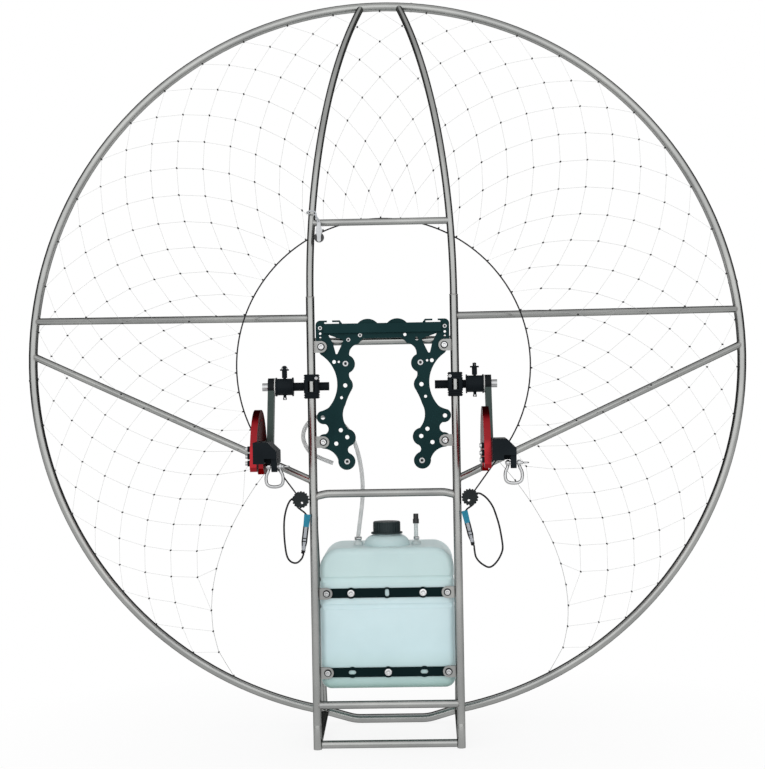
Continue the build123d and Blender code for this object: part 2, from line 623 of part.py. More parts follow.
    lug_x = (lug_lo + lug_hi) / 2
    leg_x = LUG_T / 2 + SHACKLE_GAP + SHACKLE_ROD / 2
    low_z = pin_z - SHACKLE_DROP
    bow_z = low_z - SHACKLE_BOW_R
    bow = bent(
        [
            (lug_x - leg_x, pin_y, pin_z + 1),
            (lug_x - SHACKLE_BOW_R, pin_y, low_z),
            (lug_x - SHACKLE_BOW_R, pin_y, bow_z),
            (lug_x + SHACKLE_BOW_R, pin_y, bow_z),
            (lug_x + SHACKLE_BOW_R, pin_y, low_z),
            (lug_x + leg_x, pin_y, pin_z + 1),
        ],
        [20, 11, 11, 20],
        SHACKLE_ROD,
    )
    for end in (-leg_x, leg_x):
        bow += disc_x(lug_x + end - 3, lug_x + end + 3, pin_y, pin_z, SHACKLE_ROD + 5)
    bow += disc_x(lug_x - leg_x - 4, lug_x + leg_x + 7, pin_y, pin_z, SHACKLE_ROD)
    nodes["shackle_" + side] = bow

# Inner net cord: a taut ring with straight runs down to a lock on each upright
lock_reach = math.hypot(LOCK_X, LOCK_Z - NET_CORD_Z)
toward = math.atan2(LOCK_Z - NET_CORD_Z, LOCK_X)
tangent = toward + math.acos(NET_CORD_R / lock_reach)
ring_y = top_y + (CROSS_TUBE - 2 + NET_CORD_D) / 2 + NET_CORD_GAP


def ring_point(angle):
    return (NET_CORD_R * math.cos(angle), ring_y, NET_CORD_Z + NET_CORD_R * math.sin(angle))


ring = ThreePointArc(ring_point(tangent), ring_point(math.pi / 2), ring_point(math.pi - tangent))
nodes["net_cord"] = rod(ring, NET_CORD_D)
for side, s in SIDES.items():
    x0, y0, z0 = ring_point(tangent)
    run_x = x0 - LOCK_X
    run_z = z0 - LOCK_Z
    reach = math.hypot(run_x, run_z)
    stop = (LOCK_D / 2 - 2) / reach
    foot = (s * (LOCK_X + run_x * stop), LOCK_Y, LOCK_Z + run_z * stop)
    nodes["net_cord"] += bar((s * x0, y0, z0), foot, NET_CORD_D)
    lock = disc_y(s * LOCK_X, LOCK_Y - LOCK_T / 2, LOCK_Y + LOCK_T / 2, LOCK_Z, LOCK_D)
    for k in range(LOCK_TEETH):
        a = 2 * math.pi * k / LOCK_TEETH
        tooth_x = s * LOCK_X + LOCK_D / 2 * math.cos(a)
        tooth_z = LOCK_Z + LOCK_D / 2 * math.sin(a)
        lock += disc_y(tooth_x, LOCK_Y - LOCK_T / 2, LOCK_Y + LOCK_T / 2, tooth_z, LOCK_TOOTH)
    lock -= disc_y(s * (LOCK_X - 2.3), LOCK_Y - LOCK_T, LOCK_Y + LOCK_T, LOCK_Z - 6, LOCK_HOLE_D)
    nodes["cord_lock_" + side] = lock - nodes["spar_low_" + side] - nodes["net_cord"]

TAIL_POINTS = {
    "left": [
        (-170.0, -2.0, 479.5),
        (-178.0, -3.0, 479.5),
        (-186.0, -4.0, 467.0),
        (-192.0, -5.0, 446.0),
        (-193.5, -6.0, 423.0),
        (-192.5, -6.0, 396.0),
        (-189.5, -6.0, 371.0),
        (-184.0, -6.0, 360.5),
        (-174.5, -6.0, 355.5),
        (-165.5, -6.0, 358.0),
        (-159.5, -7.0, 366.0),
    ],
    "right": [
        (168.0, -2.0, 482.0),
        (176.5, -3.0, 484.5),
        (185.5, -4.0, 480.0),
        (194.0, -5.0, 472.5),
        (204.0, -6.0, 458.0),
        (209.5, -6.0, 441.5),
        (215.0, -6.0, 423.0),
        (219.0, -6.0, 400.0),
        (221.5, -6.0, 380.5),
        (219.5, -6.0, 371.0),
        (213.0, -6.0, 357.5),
        (203.0, -6.0, 346.0),
        (194.0, -6.0, 342.0),
        (184.5, -6.0, 347.0),
        (175.5, -6.0, 354.0),
        (169.5, -7.0, 363.0),
        (168.0, -7.0, 371.0),
        (167.0, -8.0, 380.0),
    ],
}
TAB_POINTS = {
    "left": ((-148.0, 448.5), (-157.0, 379.0)),
    "right": ((149.5, 451.0), (164.0, 390.0)),
}
for side, s in SIDES.items():
    route = cord_route("cord_tail_" + side, TAIL_POINTS[side])
    nodes["cord_tail_" + side] = rod(route, TAIL_D) - nodes["cord_lock_" + side]
    (hx, hz), (tx, tz) = TAB_POINTS[side]
    lean = math.degrees(math.atan2(tx - hx, hz - tz))
    length = math.hypot(tx - hx, tz - hz)
    middle = Pos((hx + tx) / 2, PULL_TAB_Y, (hz + tz) / 2) * Rot(0, -lean, 0)
    pull = middle * Box(PULL_TAB_W, PULL_TAB_T, length)
    pull += bar((s * (LOCK_X + 3), LOCK_Y, LOCK_Z - 11), (hx, PULL_TAB_Y, hz - 4), TAIL_D)
    nodes["pull_tab_" + side] = pull - nodes["cord_lock_" + side] - nodes["upright_" + side]

# Starter-rope pulley hung at the top cross tube's left end
pulley_x = PULLEY_INSET - top_x
pulley_z = CROSS_TOP_Z - PULLEY_DROP
pulley_y = -(SPAR_TUBE / 2 + 0.5 + PULLEY_HALF)
CHEEK = [
    # out from the middle, above the sheave's axle
    (2.2, 26.0),
    (6.5, 12.5),
    (3.6, 2.0),
    (3.6, -5.0),
]
cheek_points = [(pulley_x + x, pulley_z + z) for x, z in CHEEK]
cheek_points += [(pulley_x - x, pulley_z + z) for x, z in reversed(CHEEK)]
cheek = make_face(Polyline(*cheek_points, close=True)) + dot(pulley_x, pulley_z - 5, 3.6)
cheek += dot(pulley_x, pulley_z + 25, 3.6)
inner = PULLEY_HALF - 2
front_cheek = plate_xz(cheek, pulley_y - PULLEY_HALF, pulley_y - inner)
back_cheek = plate_xz(cheek, pulley_y + inner, pulley_y + PULLEY_HALF)
sheave = disc_y(pulley_x, pulley_y - inner, pulley_y + inner, pulley_z, PULLEY_D)
spacer = disc_y(pulley_x, pulley_y - inner, pulley_y + inner, pulley_z + 25, 6)
hanger_y = top_y - CROSS_TUBE / 2 + 1 - HANGER_GAP
hanger = bar((pulley_x, pulley_y, pulley_z + 25), (pulley_x, hanger_y, CROSS_TOP_Z), PULLEY_CORD_D)
nodes["starter_pulley"] = front_cheek + back_cheek + sheave + spacer + hanger

# Cage net: two layers of cords crossing as diamonds between the hoop and the inner cord
half_layer = (NET_STRAND + NET_LAYER_GAP) / 2
hoop_grip = (HOOP_TUBE + NET_STRAND) / 2 + NET_END_GAP + half_layer
ring_end = NET_CORD_R + (NET_CORD_D + NET_STRAND) / 2 + NET_END_GAP


def net_point(row, column, layer):
    angle = NET_OPEN_HOOP - 90 + 360 * column / NET_COLUMNS
    share = row / NET_ROWS * (NET_FIRST_ROW + (1 - NET_FIRST_ROW) * row / NET_ROWS)
    inner_edge = abs(angle - 90) < NET_TOP_SECTOR
    hoop_end = HOOP_R - hoop_grip if inner_edge else HOOP_R
    hoop_y = HOOP_SETBACK if inner_edge else HOOP_SETBACK - hoop_grip
    radius = hoop_end + (ring_end - hoop_end) * share
    y = hoop_y + (ring_y - hoop_y) * share + layer * half_layer
    z = HOOP_Z + (NET_CORD_Z - HOOP_Z) * share
    a = math.radians(angle)
    return radius * math.cos(a), y, z + radius * math.sin(a)


net_span = NET_COLUMNS * (1 - NET_OPEN_HOOP / 180)
net_taper = NET_COLUMNS * (NET_OPEN_RING - NET_OPEN_HOOP) / 360
strands = []
for lean in (-1, 1):
    for start in range(-NET_ROWS, NET_COLUMNS + NET_ROWS):
        path = []
        for row in range(NET_ROWS + 1):
            column = start + lean * row / 2
            spare = net_taper * row / NET_ROWS
            if spare <= column <= net_span - spare:
                path.append(net_point(row, column, lean))
        if len(path) > 1:
            route = Polyline(*path)
            profile = Plane(origin=route @ 0, z_dir=route % 0) * Rectangle(NET_STRAND, NET_STRAND)
            strands.append(sweep(profile, path=route, transition=Transition.RIGHT).solid())
nodes["cage_net"] = Compound(children=strands)
print("net strands", len(strands))

HOSE_POINTS = [
    (-56.0, 80.0, 397.6),
    (-52.0, 72.0, 425.0),
    (-44.0, 58.0, 478.0),
    (-45.5, 52.0, 530.0),
    (-57.0, 50.0, 582.0),
    (-76.0, 50.0, 615.0),
    (-104.0, 48.0, 634.0),
    (-130.0, 44.0, 634.0),
    (-150.0, 40.0, 620.0),
    (-159.5, 36.0, 594.0),
    (-147.0, 34.0, 566.0),
    (-128.0, 34.0, 554.0),
    (-100.0, 34.0, 543.0),
]
nodes["fuel_hose"] = rod(cord_route("fuel_hose", HOSE_POINTS), HOSE_D)

for name, shape in nodes.items():
    placed = shape.moved(Location((0, LADDER_Y, 0)))
    export_step(placed, "parts/" + name + ".step")
print("ladder plane at y", round(LADDER_Y, 3), "pieces", len(nodes))
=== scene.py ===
import json
import math

import bpy
from mathutils import Matrix, Vector


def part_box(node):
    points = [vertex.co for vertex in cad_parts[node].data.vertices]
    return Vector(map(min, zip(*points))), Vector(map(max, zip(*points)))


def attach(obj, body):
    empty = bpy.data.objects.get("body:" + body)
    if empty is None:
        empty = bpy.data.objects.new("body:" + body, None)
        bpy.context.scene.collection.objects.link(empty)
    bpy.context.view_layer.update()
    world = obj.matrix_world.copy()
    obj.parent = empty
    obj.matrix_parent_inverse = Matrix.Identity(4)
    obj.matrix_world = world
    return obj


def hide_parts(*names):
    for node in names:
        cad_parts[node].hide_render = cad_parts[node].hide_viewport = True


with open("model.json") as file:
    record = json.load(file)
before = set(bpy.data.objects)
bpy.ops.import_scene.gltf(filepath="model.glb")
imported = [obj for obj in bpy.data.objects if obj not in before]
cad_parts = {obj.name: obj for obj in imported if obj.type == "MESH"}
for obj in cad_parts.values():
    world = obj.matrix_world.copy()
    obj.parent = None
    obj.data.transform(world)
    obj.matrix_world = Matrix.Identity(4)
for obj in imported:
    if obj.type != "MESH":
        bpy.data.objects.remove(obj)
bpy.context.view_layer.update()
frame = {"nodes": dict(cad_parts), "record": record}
nodes = frame["nodes"]

# places that several pieces share, measured from the foot of the ladder's middle
ladder = {"uprightX": 0.1365, "uprightRadius": 0.008}
cage = {
    "hoopRadius": 0.726,
    "hoopY": 0.250,
    "hoopZ": 0.740,
    "ringY": 0.0206,
    "ringZ": 0.729,
    "lock": (0.1608, 0.0, 0.476),
}
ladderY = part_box("upright_left")[0][1] + ladder["uprightRadius"]  # plane of the uprights' centre lines
sideSigns = {"left": -1, "right": 1}
leftward = (-1, 0, 0)
rightward = (1, 0, 0)
forward = (0, -1, 0)
rearward = (0, 1, 0)
downward = (0, 0, -1)
upward = (0, 0, 1)
print("frame loaded:", len(nodes), "nodes")


# everyday helpers

shaping = {
    "bevelAngle": 40,
    "smoothAngle": 35,
    "facing": 0.9,  # a normal's share along an axis from which a face looks that way
    "rodSteps": {2: 2, 3: 6},  # for the two orders: straight runs and rounded ones
    "rodSides": 2,
}


def clearSelection():
    bpy.ops.object.select_all(action="DESELECT")


def leaveEdit():
    bpy.ops.object.mode_set(mode="OBJECT")


def selectOnly(piece):
    clearSelection()
    piece.select_set(True)
    bpy.context.view_layer.objects.active = piece


def settle(piece, name):  # puts the piece's place into its mesh
    selectOnly(piece)
    bpy.ops.object.transform_apply(location=True, rotation=True, scale=True)
    piece.name = name
    piece.data.name = name
    return piece


def joinPieces(pieces, name):
    clearSelection()
    for piece in pieces:
        piece.select_set(True)
    bpy.context.view_layer.objects.active = pieces[0]
    bpy.ops.object.join()
    return settle(bpy.context.view_layer.objects.active, name)


def spreadCopies(model, places, name):  # one joined piece of copies, the model itself goes
    copies = []
    for place in places:
        twin = model.copy()
        twin.data = model.data.copy()
        twin.matrix_world = place
        bpy.context.collection.objects.link(twin)
        copies.append(twin)
    bpy.data.objects.remove(model)
    return joinPieces(copies, name)


def paint(piece, material):
    piece.data.materials.clear()
    piece.data.materials.append(material)
    return piece


def belong(piece, body):
    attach(piece, body)
    return piece


def dress(piece, material, body):
    paint(piece, material)
    return belong(piece, body)


def aimed(direction, at):  # turns a piece modelled along +Z to point along direction
    turn = Vector(upward).rotation_difference(Vector(direction).normalized())
    return Matrix.Translation(Vector(at)) @ turn.to_matrix().to_4x4()


def spreadAimed(model, direction, places, name):
    return spreadCopies(model, [aimed(direction, place) for place in places], name)


def onFrame(x, y, z):  # ladder coordinates to the shared frame
    return Vector((x, y + ladderY, z))


def bothSides(places):
    return [onFrame(sign * x, y, z) for sign in sideSigns.values() for x, y, z in places]


def circlePoints(centre, first, second, radius, steps):  # in the plane of two directions
    turns = [math.tau * step / steps for step in range(steps)]
    return [centre + radius * (math.cos(turn) * first + math.sin(turn) * second) for turn in turns]


def editPicked(piece, kind, test):  # edit mode with only the faces or corners that pass the test
    selectOnly(piece)
    bpy.ops.object.mode_set(mode="EDIT")
    bpy.ops.mesh.select_mode(type=kind)
    bpy.ops.mesh.select_all(action="DESELECT")
    leaveEdit()
    for item in piece.data.polygons if kind == "FACE" else piece.data.vertices:
        item.select = test(item)
    bpy.ops.object.mode_set(mode="EDIT")


def applyModifier(piece, kind, **settings):
    selectOnly(piece)
    modifier = piece.modifiers.new(kind, kind)
    for setting, value in settings.items():
        setattr(modifier, setting, value)
    bpy.ops.object.modifier_apply(modifier=kind)


def smoothFaces():
    bpy.ops.object.shade_smooth_by_angle(angle=math.radians(shaping["smoothAngle"]))


def softenEdges(piece, width, segments=2):
    applyModifier(piece, "BEVEL", width=width, segments=segments, limit_method="ANGLE",
                  angle_limit=math.radians(shaping["bevelAngle"]))
    smoothFaces()


def roundBar(radius, low, high, sides=24):  # along +Z
    clearSelection()
    bpy.ops.mesh.primitive_cylinder_add(
        vertices=sides, radius=radius, depth=high - low, location=(0, 0, (low + high) / 2))
    bpy.ops.object.transform_apply(location=True, rotation=True, scale=True)
    return bpy.context.object


def edgedBar(radius, low, high, sides, edge):
    bar = roundBar(radius, low, high, sides)
    softenEdges(bar, edge)
    return bar


def dishedBar(radius, low, high, sides, rim, dip, edge, segments=2):  # its end is sunk inside a rim
    bar = roundBar(radius, low, high, sides)
    editPicked(bar, "FACE", lambda face: face.normal.z > shaping["facing"])
    bpy.ops.mesh.inset(thickness=rim)
    bpy.ops.mesh.extrude_region_move(TRANSFORM_OT_translate={"value": (0, 0, -dip)})
    leaveEdit()
    softenEdges(bar, edge, segments)
    return bar


def socketHead(radius, low, high, socket, socketDeep, edge):  # a screw head with a hexagon socket
    head = roundBar(radius, low, high)
    drill = roundBar(socket, high - socketDeep, high + socketDeep, 6)
    applyModifier(head, "BOOLEAN", operation="DIFFERENCE", solver="EXACT", object=drill)
    bpy.data.objects.remove(drill)
    softenEdges(head, edge)
    return head


def rodCurve(name, points, radius, closed, order, steps, sides):
    data = bpy.data.curves.new(name, "CURVE")
    data.dimensions = "3D"
    spline = data.splines.new("NURBS")
    spline.points.add(len(points) - 1)
    for target, point in zip(spline.points, points):
        target.co = (*point, 1)
    spline.order_u = order
    spline.use_endpoint_u = not closed
    spline.use_cyclic_u = closed
    spline.resolution_u = steps
    data.bevel_depth = radius
    data.bevel_resolution = sides
    data.use_fill_caps = not closed
    curve = bpy.data.objects.new(name, data)
    bpy.context.collection.objects.link(curve)
    return curve


def roundLine(name, points, radius, closed=False, order=2):  # a rod made a mesh
    steps = shaping["rodSteps"][order]
    selectOnly(rodCurve(name, points, radius, closed, order, steps, shaping["rodSides"]))
    bpy.ops.object.convert(target="MESH")
    bpy.ops.object.shade_smooth()
    return bpy.context.object


# materials

def startMaterial(name, colour, roughness, metal=0.0, gloss=0.5):
    material = bpy.data.materials.new(name)
    material.use_nodes = True
    tree = material.node_tree
    shader = tree.nodes["Principled BSDF"]
    shader.inputs["Base Color"].default_value = (*colour, 1)
    shader.inputs["Roughness"].default_value = roughness
    shader.inputs["Metallic"].default_value = metal
    shader.inputs["Specular IOR Level"].default_value = gloss
    return material, tree, shader


def feed(tree, socket, value):  # a link, a plain number or a colour
    if isinstance(value, (int, float)):
        socket.default_value = value
    elif isinstance(value, tuple):
        socket.default_value = (*value, 1)
    else:
        tree.links.new(value, socket)


def objectCoords(tree):
    return tree.nodes.new("ShaderNodeTexCoord").outputs["Object"]


def noise(tree, vector, scale, detail=3.0):
    texture = tree.nodes.new("ShaderNodeTexNoise")
    texture.inputs["Scale"].default_value = scale
    texture.inputs["Detail"].default_value = detail
    tree.links.new(vector, texture.inputs["Vector"])
    return texture.outputs["Fac"]


def ramp(tree, factor, stops):
    node = tree.nodes.new("ShaderNodeValToRGB")
    while len(node.color_ramp.elements) < len(stops):
        node.color_ramp.elements.new(0.5)
    for element, (place, colour) in zip(node.color_ramp.elements, stops):
        element.position = place
        element.color = (*colour, 1)
    tree.links.new(factor, node.inputs["Fac"])
    return node.outputs["Color"]


def spread(tree, factor, low, high, fromLow=0.0, fromHigh=1.0):
    node = tree.nodes.new("ShaderNodeMapRange")
    node.inputs["From Min"].default_value = fromLow
    node.inputs["From Max"].default_value = fromHigh
    node.inputs["To Min"].default_value = low
    node.inputs["To Max"].default_value = high
    tree.links.new(factor, node.inputs["Value"])
    return node.outputs["Result"]


def sums(tree, operation, first, second=0.0):  # a math node on sockets or plain numbers
    node = tree.nodes.new("ShaderNodeMath")
    node.operation = operation
    feed(tree, node.inputs[0], first)
    feed(tree, node.inputs[1], second)
    return node.outputs["Value"]


def axisOf(tree, vector, axis):
    split = tree.nodes.new("ShaderNodeSeparateXYZ")
    tree.links.new(vector, split.inputs["Vector"])
    return split.outputs[axis]


def mixColour(tree, factor, first, second, blend="MIX"):  # second where the factor is 1
    node = tree.nodes.new("ShaderNodeMix")
    node.data_type = "RGBA"
    node.blend_type = blend
    feed(tree, node.inputs["Factor"], factor)
    feed(tree, node.inputs["A"], first)
    feed(tree, node.inputs["B"], second)
    return node.outputs["Result"]


def bump(tree, shader, height, strength, distance):
    node = tree.nodes.new("ShaderNodeBump")
    node.inputs["Strength"].default_value = strength
    node.inputs["Distance"].default_value = distance
    tree.links.new(height, node.inputs["Height"])
    tree.links.new(node.outputs["Normal"], shader.inputs["Normal"])


def setSurface(tree, shader, colour, fine, rough, grainBump, deep=0.0004):
    feed(tree, shader.inputs["Base Color"], colour)
    feed(tree, shader.inputs["Roughness"], spread(tree, fine, *rough))
    bump(tree, shader, fine, grainBump, deep)


mottle = {"cloud": 9.0, "stops": (0.32, 0.68), "fineDetail": 2.0}
dimEdge = (0.1, 0.1, 0.1)  # bright metal darkens where it turns away


def grainedFinish(name, dark, light, rough, metal, grain, grainBump, edge=None, gloss=0.5):
    material, tree, shader = startMaterial(name, light, rough[1], metal, gloss)
    vector = objectCoords(tree)
    cloud = noise(tree, vector, mottle["cloud"])
    fine = noise(tree, vector, grain, mottle["fineDetail"])
    tint = ramp(tree, cloud, list(zip(mottle["stops"], (dark, light))))
    setSurface(tree, shader, tint, fine, rough, grainBump)
    if edge:
        shader.inputs["Specular Tint"].default_value = (*edge, 1)
    return material


def bareMetal(name, dark, light, rough, grain, grainBump, edge=dimEdge):
    return grainedFinish(name, dark, light, rough, 1.0, grain, grainBump, edge)


def mattFinish(name, dark, light, rough, grain, grainBump, gloss):
    return grainedFinish(name, dark, light, rough, 0.0, grain, grainBump, gloss=gloss)


titaniumTube = bareMetal("titaniumTube", dark=(0.27, 0.275, 0.27), light=(0.34, 0.345, 0.335),
                         rough=(0.2, 0.3), grain=700, grainBump=0.03)
weldBead = bareMetal("weldBead", dark=(0.30, 0.295, 0.285), light=(0.40, 0.395, 0.385),
                     rough=(0.3, 0.45), grain=420, grainBump=0.35)
tabSteel = bareMetal("tabSteel", dark=(0.24, 0.245, 0.24), light=(0.31, 0.315, 0.305),
                     rough=(0.32, 0.46), grain=700, grainBump=0.06)
darkSteel = bareMetal("darkSteel", dark=(0.14, 0.145, 0.15), light=(0.21, 0.215, 0.22),
                      rough=(0.22, 0.34), grain=800, grainBump=0.05)
stainless = bareMetal("stainless", dark=(0.36, 0.365, 0.37), light=(0.46, 0.465, 0.47),
                      rough=(0.16, 0.26), grain=800, grainBump=0.05)
# stainless painted brighter, as a painted highlight on the plate-tab and strap bolt heads
highlightSteel = bareMetal("highlightSteel", dark=(0.50, 0.505, 0.51), light=(0.60, 0.605, 0.61),
                        rough=(0.2, 0.3), grain=800, grainBump=0.05)
redAnodised = bareMetal("redAnodised", dark=(0.23, 0.012, 0.016), light=(0.33, 0.026, 0.032),
                        rough=(0.2, 0.3), grain=1300, grainBump=0.05, edge=(0.1, 0.02, 0.02))
blackSheet = mattFinish("blackSheet", dark=(0.004, 0.022, 0.024), light=(0.007, 0.030, 0.032),
                        rough=(0.42, 0.56), grain=1500, grainBump=0.08, gloss=0.06)
strapSheet = mattFinish("strapSheet", dark=(0.001, 0.008, 0.009), light=(0.002, 0.011, 0.012),
                        rough=(0.45, 0.6), grain=1400, grainBump=0.1, gloss=0.05)
blackTurned = mattFinish("blackTurned", dark=(0.005, 0.007, 0.009), light=(0.010, 0.014, 0.017),
                         rough=(0.4, 0.54), grain=1200, grainBump=0.06, gloss=0.04)
whiteNylon = mattFinish("whiteNylon", dark=(0.48, 0.49, 0.48), light=(0.58, 0.58, 0.57),
                        rough=(0.45, 0.6), grain=600, grainBump=0.08, gloss=0.3)
# black moulded plastic of the cord locks, also laid as painted shade on the tab washers and in the bush
# bores
blackMouldedAndShade = mattFinish("blackMouldedAndShade", dark=(0.006, 0.008, 0.009), light=(0.013, 0.018, 0.019),
                          rough=(0.42, 0.6), grain=1600, grainBump=0.15, gloss=0.15)
# dark teal plastic of the fuel cap, also painted lighter to stand for the highlights on its flutes
capMouldedAndHighlight = mattFinish("capMouldedAndHighlight", dark=(0.013, 0.023, 0.025), light=(0.023, 0.037, 0.039),
                        rough=(0.4, 0.55), grain=1600, grainBump=0.15, gloss=0.2)
tealMoulded = mattFinish("tealMoulded", dark=(0.010, 0.15, 0.24), light=(0.018, 0.22, 0.33),
                         rough=(0.35, 0.5), grain=900, grainBump=0.08, gloss=0.2)
paleFitting = mattFinish("paleFitting", dark=(0.50, 0.56, 0.56), light=(0.62, 0.67, 0.67),
                         rough=(0.25, 0.4), grain=500, grainBump=0.08, gloss=0.3)


def armGrey():  # grey between the black boss and the black foot
    look = {
        "pivot": (0.017 + ladderY, 0.691),
        "bossRadius": 0.0173,
        "footTop": 0.568,
        "black": (0.004, 0.006, 0.007),
        "grey": [(0.35, (0.038, 0.056, 0.051)), (0.65, (0.052, 0.074, 0.068))],
        "cloud": 30.0,
        "grain": 1100.0,
        "rough": (0.36, 0.5),
        "grainBump": 0.06,
        "gloss": 0.1,
    }
    material, tree, shader = startMaterial(
        "armGrey", look["grey"][1][1], look["rough"][1], gloss=look["gloss"])
    vector = objectCoords(tree)
    height = axisOf(tree, vector, "Z")
    across = sums(tree, "SUBTRACT", axisOf(tree, vector, "Y"), look["pivot"][0])
    above = sums(tree, "SUBTRACT", height, look["pivot"][1])
    squares = sums(tree, "ADD", sums(tree, "POWER", across, 2.0), sums(tree, "POWER", above, 2.0))
    boss = sums(tree, "LESS_THAN", sums(tree, "SQRT", squares), look["bossRadius"])
    foot = sums(tree, "LESS_THAN", height, look["footTop"])
    grey = ramp(tree, noise(tree, vector, look["cloud"]), look["grey"])
    tint = mixColour(tree, sums(tree, "MAXIMUM", boss, foot), grey, look["black"])
    fine = noise(tree, vector, look["grain"], mottle["fineDetail"])
    setSurface(tree, shader, tint, fine, look["rough"], look["grainBump"])
    return material


def pulleyFinish():  # black sheave between bright cheeks
    look = {
        "cheek": 0.0016,
        "sheaveTop": 0.984,
        "bright": [(0.3, (0.30, 0.31, 0.32)), (0.7, (0.42, 0.43, 0.44))],
        "black": (0.008, 0.009, 0.010),
        "grain": 700.0,
        "rough": (0.22, 0.4),
        "grainBump": 0.06,
    }
    low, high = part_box("starter_pulley")
    material, tree, shader = startMaterial("pulleyFinish", look["bright"][1][1], look["rough"][1], 1.0)
    vector = objectCoords(tree)
    depth = axisOf(tree, vector, "Y")
    behind = sums(tree, "GREATER_THAN", depth, low[1] + look["cheek"])
    before = sums(tree, "LESS_THAN", depth, high[1] - look["cheek"])
    below = sums(tree, "LESS_THAN", axisOf(tree, vector, "Z"), look["sheaveTop"])
    sheave = sums(tree, "MULTIPLY", sums(tree, "MULTIPLY", behind, before), below)
    fine = noise(tree, vector, look["grain"], mottle["fineDetail"])
    tint = mixColour(tree, sheave, ramp(tree, fine, look["bright"]), look["black"])
    feed(tree, shader.inputs["Metallic"], sums(tree, "SUBTRACT", 1.0, sheave))
    setSurface(tree, shader, tint, fine, look["rough"], look["grainBump"])
    return material


def ventFinish():  # black cap on a clear tube with a pale base
    look = {
        "capFrom": 0.4215,
        "baseTo": 0.3875,
        "cap": (0.008, 0.009, 0.010),
        "base": (0.52, 0.58, 0.58),
        "tube": [(0.3, (0.52, 0.57, 0.57)), (0.7, (0.64, 0.68, 0.68))],
        "grain": 300.0,
        "rough": (0.28, 0.45),
        "grainBump": 0.08,
    }
    material, tree, shader = startMaterial("ventFinish", look["base"], look["rough"][1])
    vector = objectCoords(tree)
    height = axisOf(tree, vector, "Z")
    fine = noise(tree, vector, look["grain"])
    tube = ramp(tree, fine, look["tube"])
    lower = mixColour(tree, sums(tree, "LESS_THAN", height, look["baseTo"]), tube, look["base"])
    tint = mixColour(tree, sums(tree, "GREATER_THAN", height, look["capFrom"]), lower, look["cap"])
    setSurface(tree, shader, tint, fine, look["rough"], look["grainBump"])
    return material


def tankPlastic():  # milky plastic, a little darker towards the bottom
    look = {
        "heights": [
            (0.0, (0.32, 0.48, 0.44)),
            (0.10, (0.50, 0.66, 0.66)),
            (0.25, (0.58, 0.74, 0.77)),
            (0.55, (0.61, 0.76, 0.79)),
            (0.75, (0.56, 0.71, 0.71)),
            (1.0, (0.55, 0.69, 0.70)),
        ],
        "clouding": [(0.3, (0.94, 0.95, 0.95)), (0.7, (1.0, 1.0, 1.0))],
        "cloud": 14.0,
        "grain": 260.0,
        "rough": (0.28, 0.42),
        "grainBump": 0.12,
        "grainDeep": 0.0006,
        "gloss": 0.2,
        "milk": 0.2,
        "milkReach": (0.02, 0.025, 0.026),
    }
    material, tree, shader = startMaterial(
        "tankPlastic", look["heights"][2][1], look["rough"][1], gloss=look["gloss"])
    vector = objectCoords(tree)
    low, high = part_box("fuel_tank")
    height = spread(tree, axisOf(tree, vector, "Z"), 0.0, 1.0, low[2], high[2])
    clouding = ramp(tree, noise(tree, vector, look["cloud"]), look["clouding"])
    tint = mixColour(tree, 1.0, ramp(tree, height, look["heights"]), clouding, "MULTIPLY")
    fine = noise(tree, vector, look["grain"])
    setSurface(tree, shader, tint, fine, look["rough"], look["grainBump"], look["grainDeep"])
    shader.inputs["Subsurface Weight"].default_value = look["milk"]
    shader.inputs["Subsurface Radius"].default_value = look["milkReach"]
    return material


def clearHose():
    look = {
        "milky": [(0.3, (0.66, 0.68, 0.68)), (0.7, (0.76, 0.77, 0.77))],
        "cloud": 60.0,
        "rough": (0.14, 0.26),
        "clear": 0.3,
        "bending": 1.25,
    }
    material, tree, shader = startMaterial("clearHose", look["milky"][0][1], look["rough"][1])
    cloud = noise(tree, objectCoords(tree), look["cloud"])
    feed(tree, shader.inputs["Base Color"], ramp(tree, cloud, look["milky"]))
    feed(tree, shader.inputs["Roughness"], spread(tree, cloud, *look["rough"]))
    shader.inputs["Transmission Weight"].default_value = look["clear"]
    shader.inputs["IOR"].default_value = look["bending"]
    return material


weave = {"rough": 0.75, "gloss": 0.2, "wander": 1.5, "stops": (0.2, 0.8), "relief": 0.4, "deep": 0.0005}


def cordWeave(name, dark, light, pitch):
    material, tree, shader = startMaterial(name, light, weave["rough"], gloss=weave["gloss"])
    wave = tree.nodes.new("ShaderNodeTexWave")
    wave.bands_direction = "DIAGONAL"
    wave.inputs["Scale"].default_value = pitch
    wave.inputs["Distortion"].default_value = weave["wander"]
    tree.links.new(objectCoords(tree), wave.inputs["Vector"])
    strands = wave.outputs["Fac"]
    tint = ramp(tree, strands, list(zip(weave["stops"], (dark, light))))
    feed(tree, shader.inputs["Base Color"], tint)
    bump(tree, shader, strands, weave["relief"], weave["deep"])
    return material


blackCord = cordWeave("blackCord", (0.006, 0.006, 0.007), (0.018, 0.018, 0.02), 420)
netLine = cordWeave("netLine", (0.36, 0.37, 0.37), (0.5, 0.5, 0.5), 900)
netKnot = cordWeave("netKnot", (0.02, 0.02, 0.02), (0.045, 0.045, 0.045), 900)
tapeGrey = cordWeave("tapeGrey", (0.30, 0.32, 0.35), (0.46, 0.48, 0.51), 500)
slingCord = cordWeave("slingCord", (0.36, 0.38, 0.40), (0.55, 0.57, 0.59), 600)

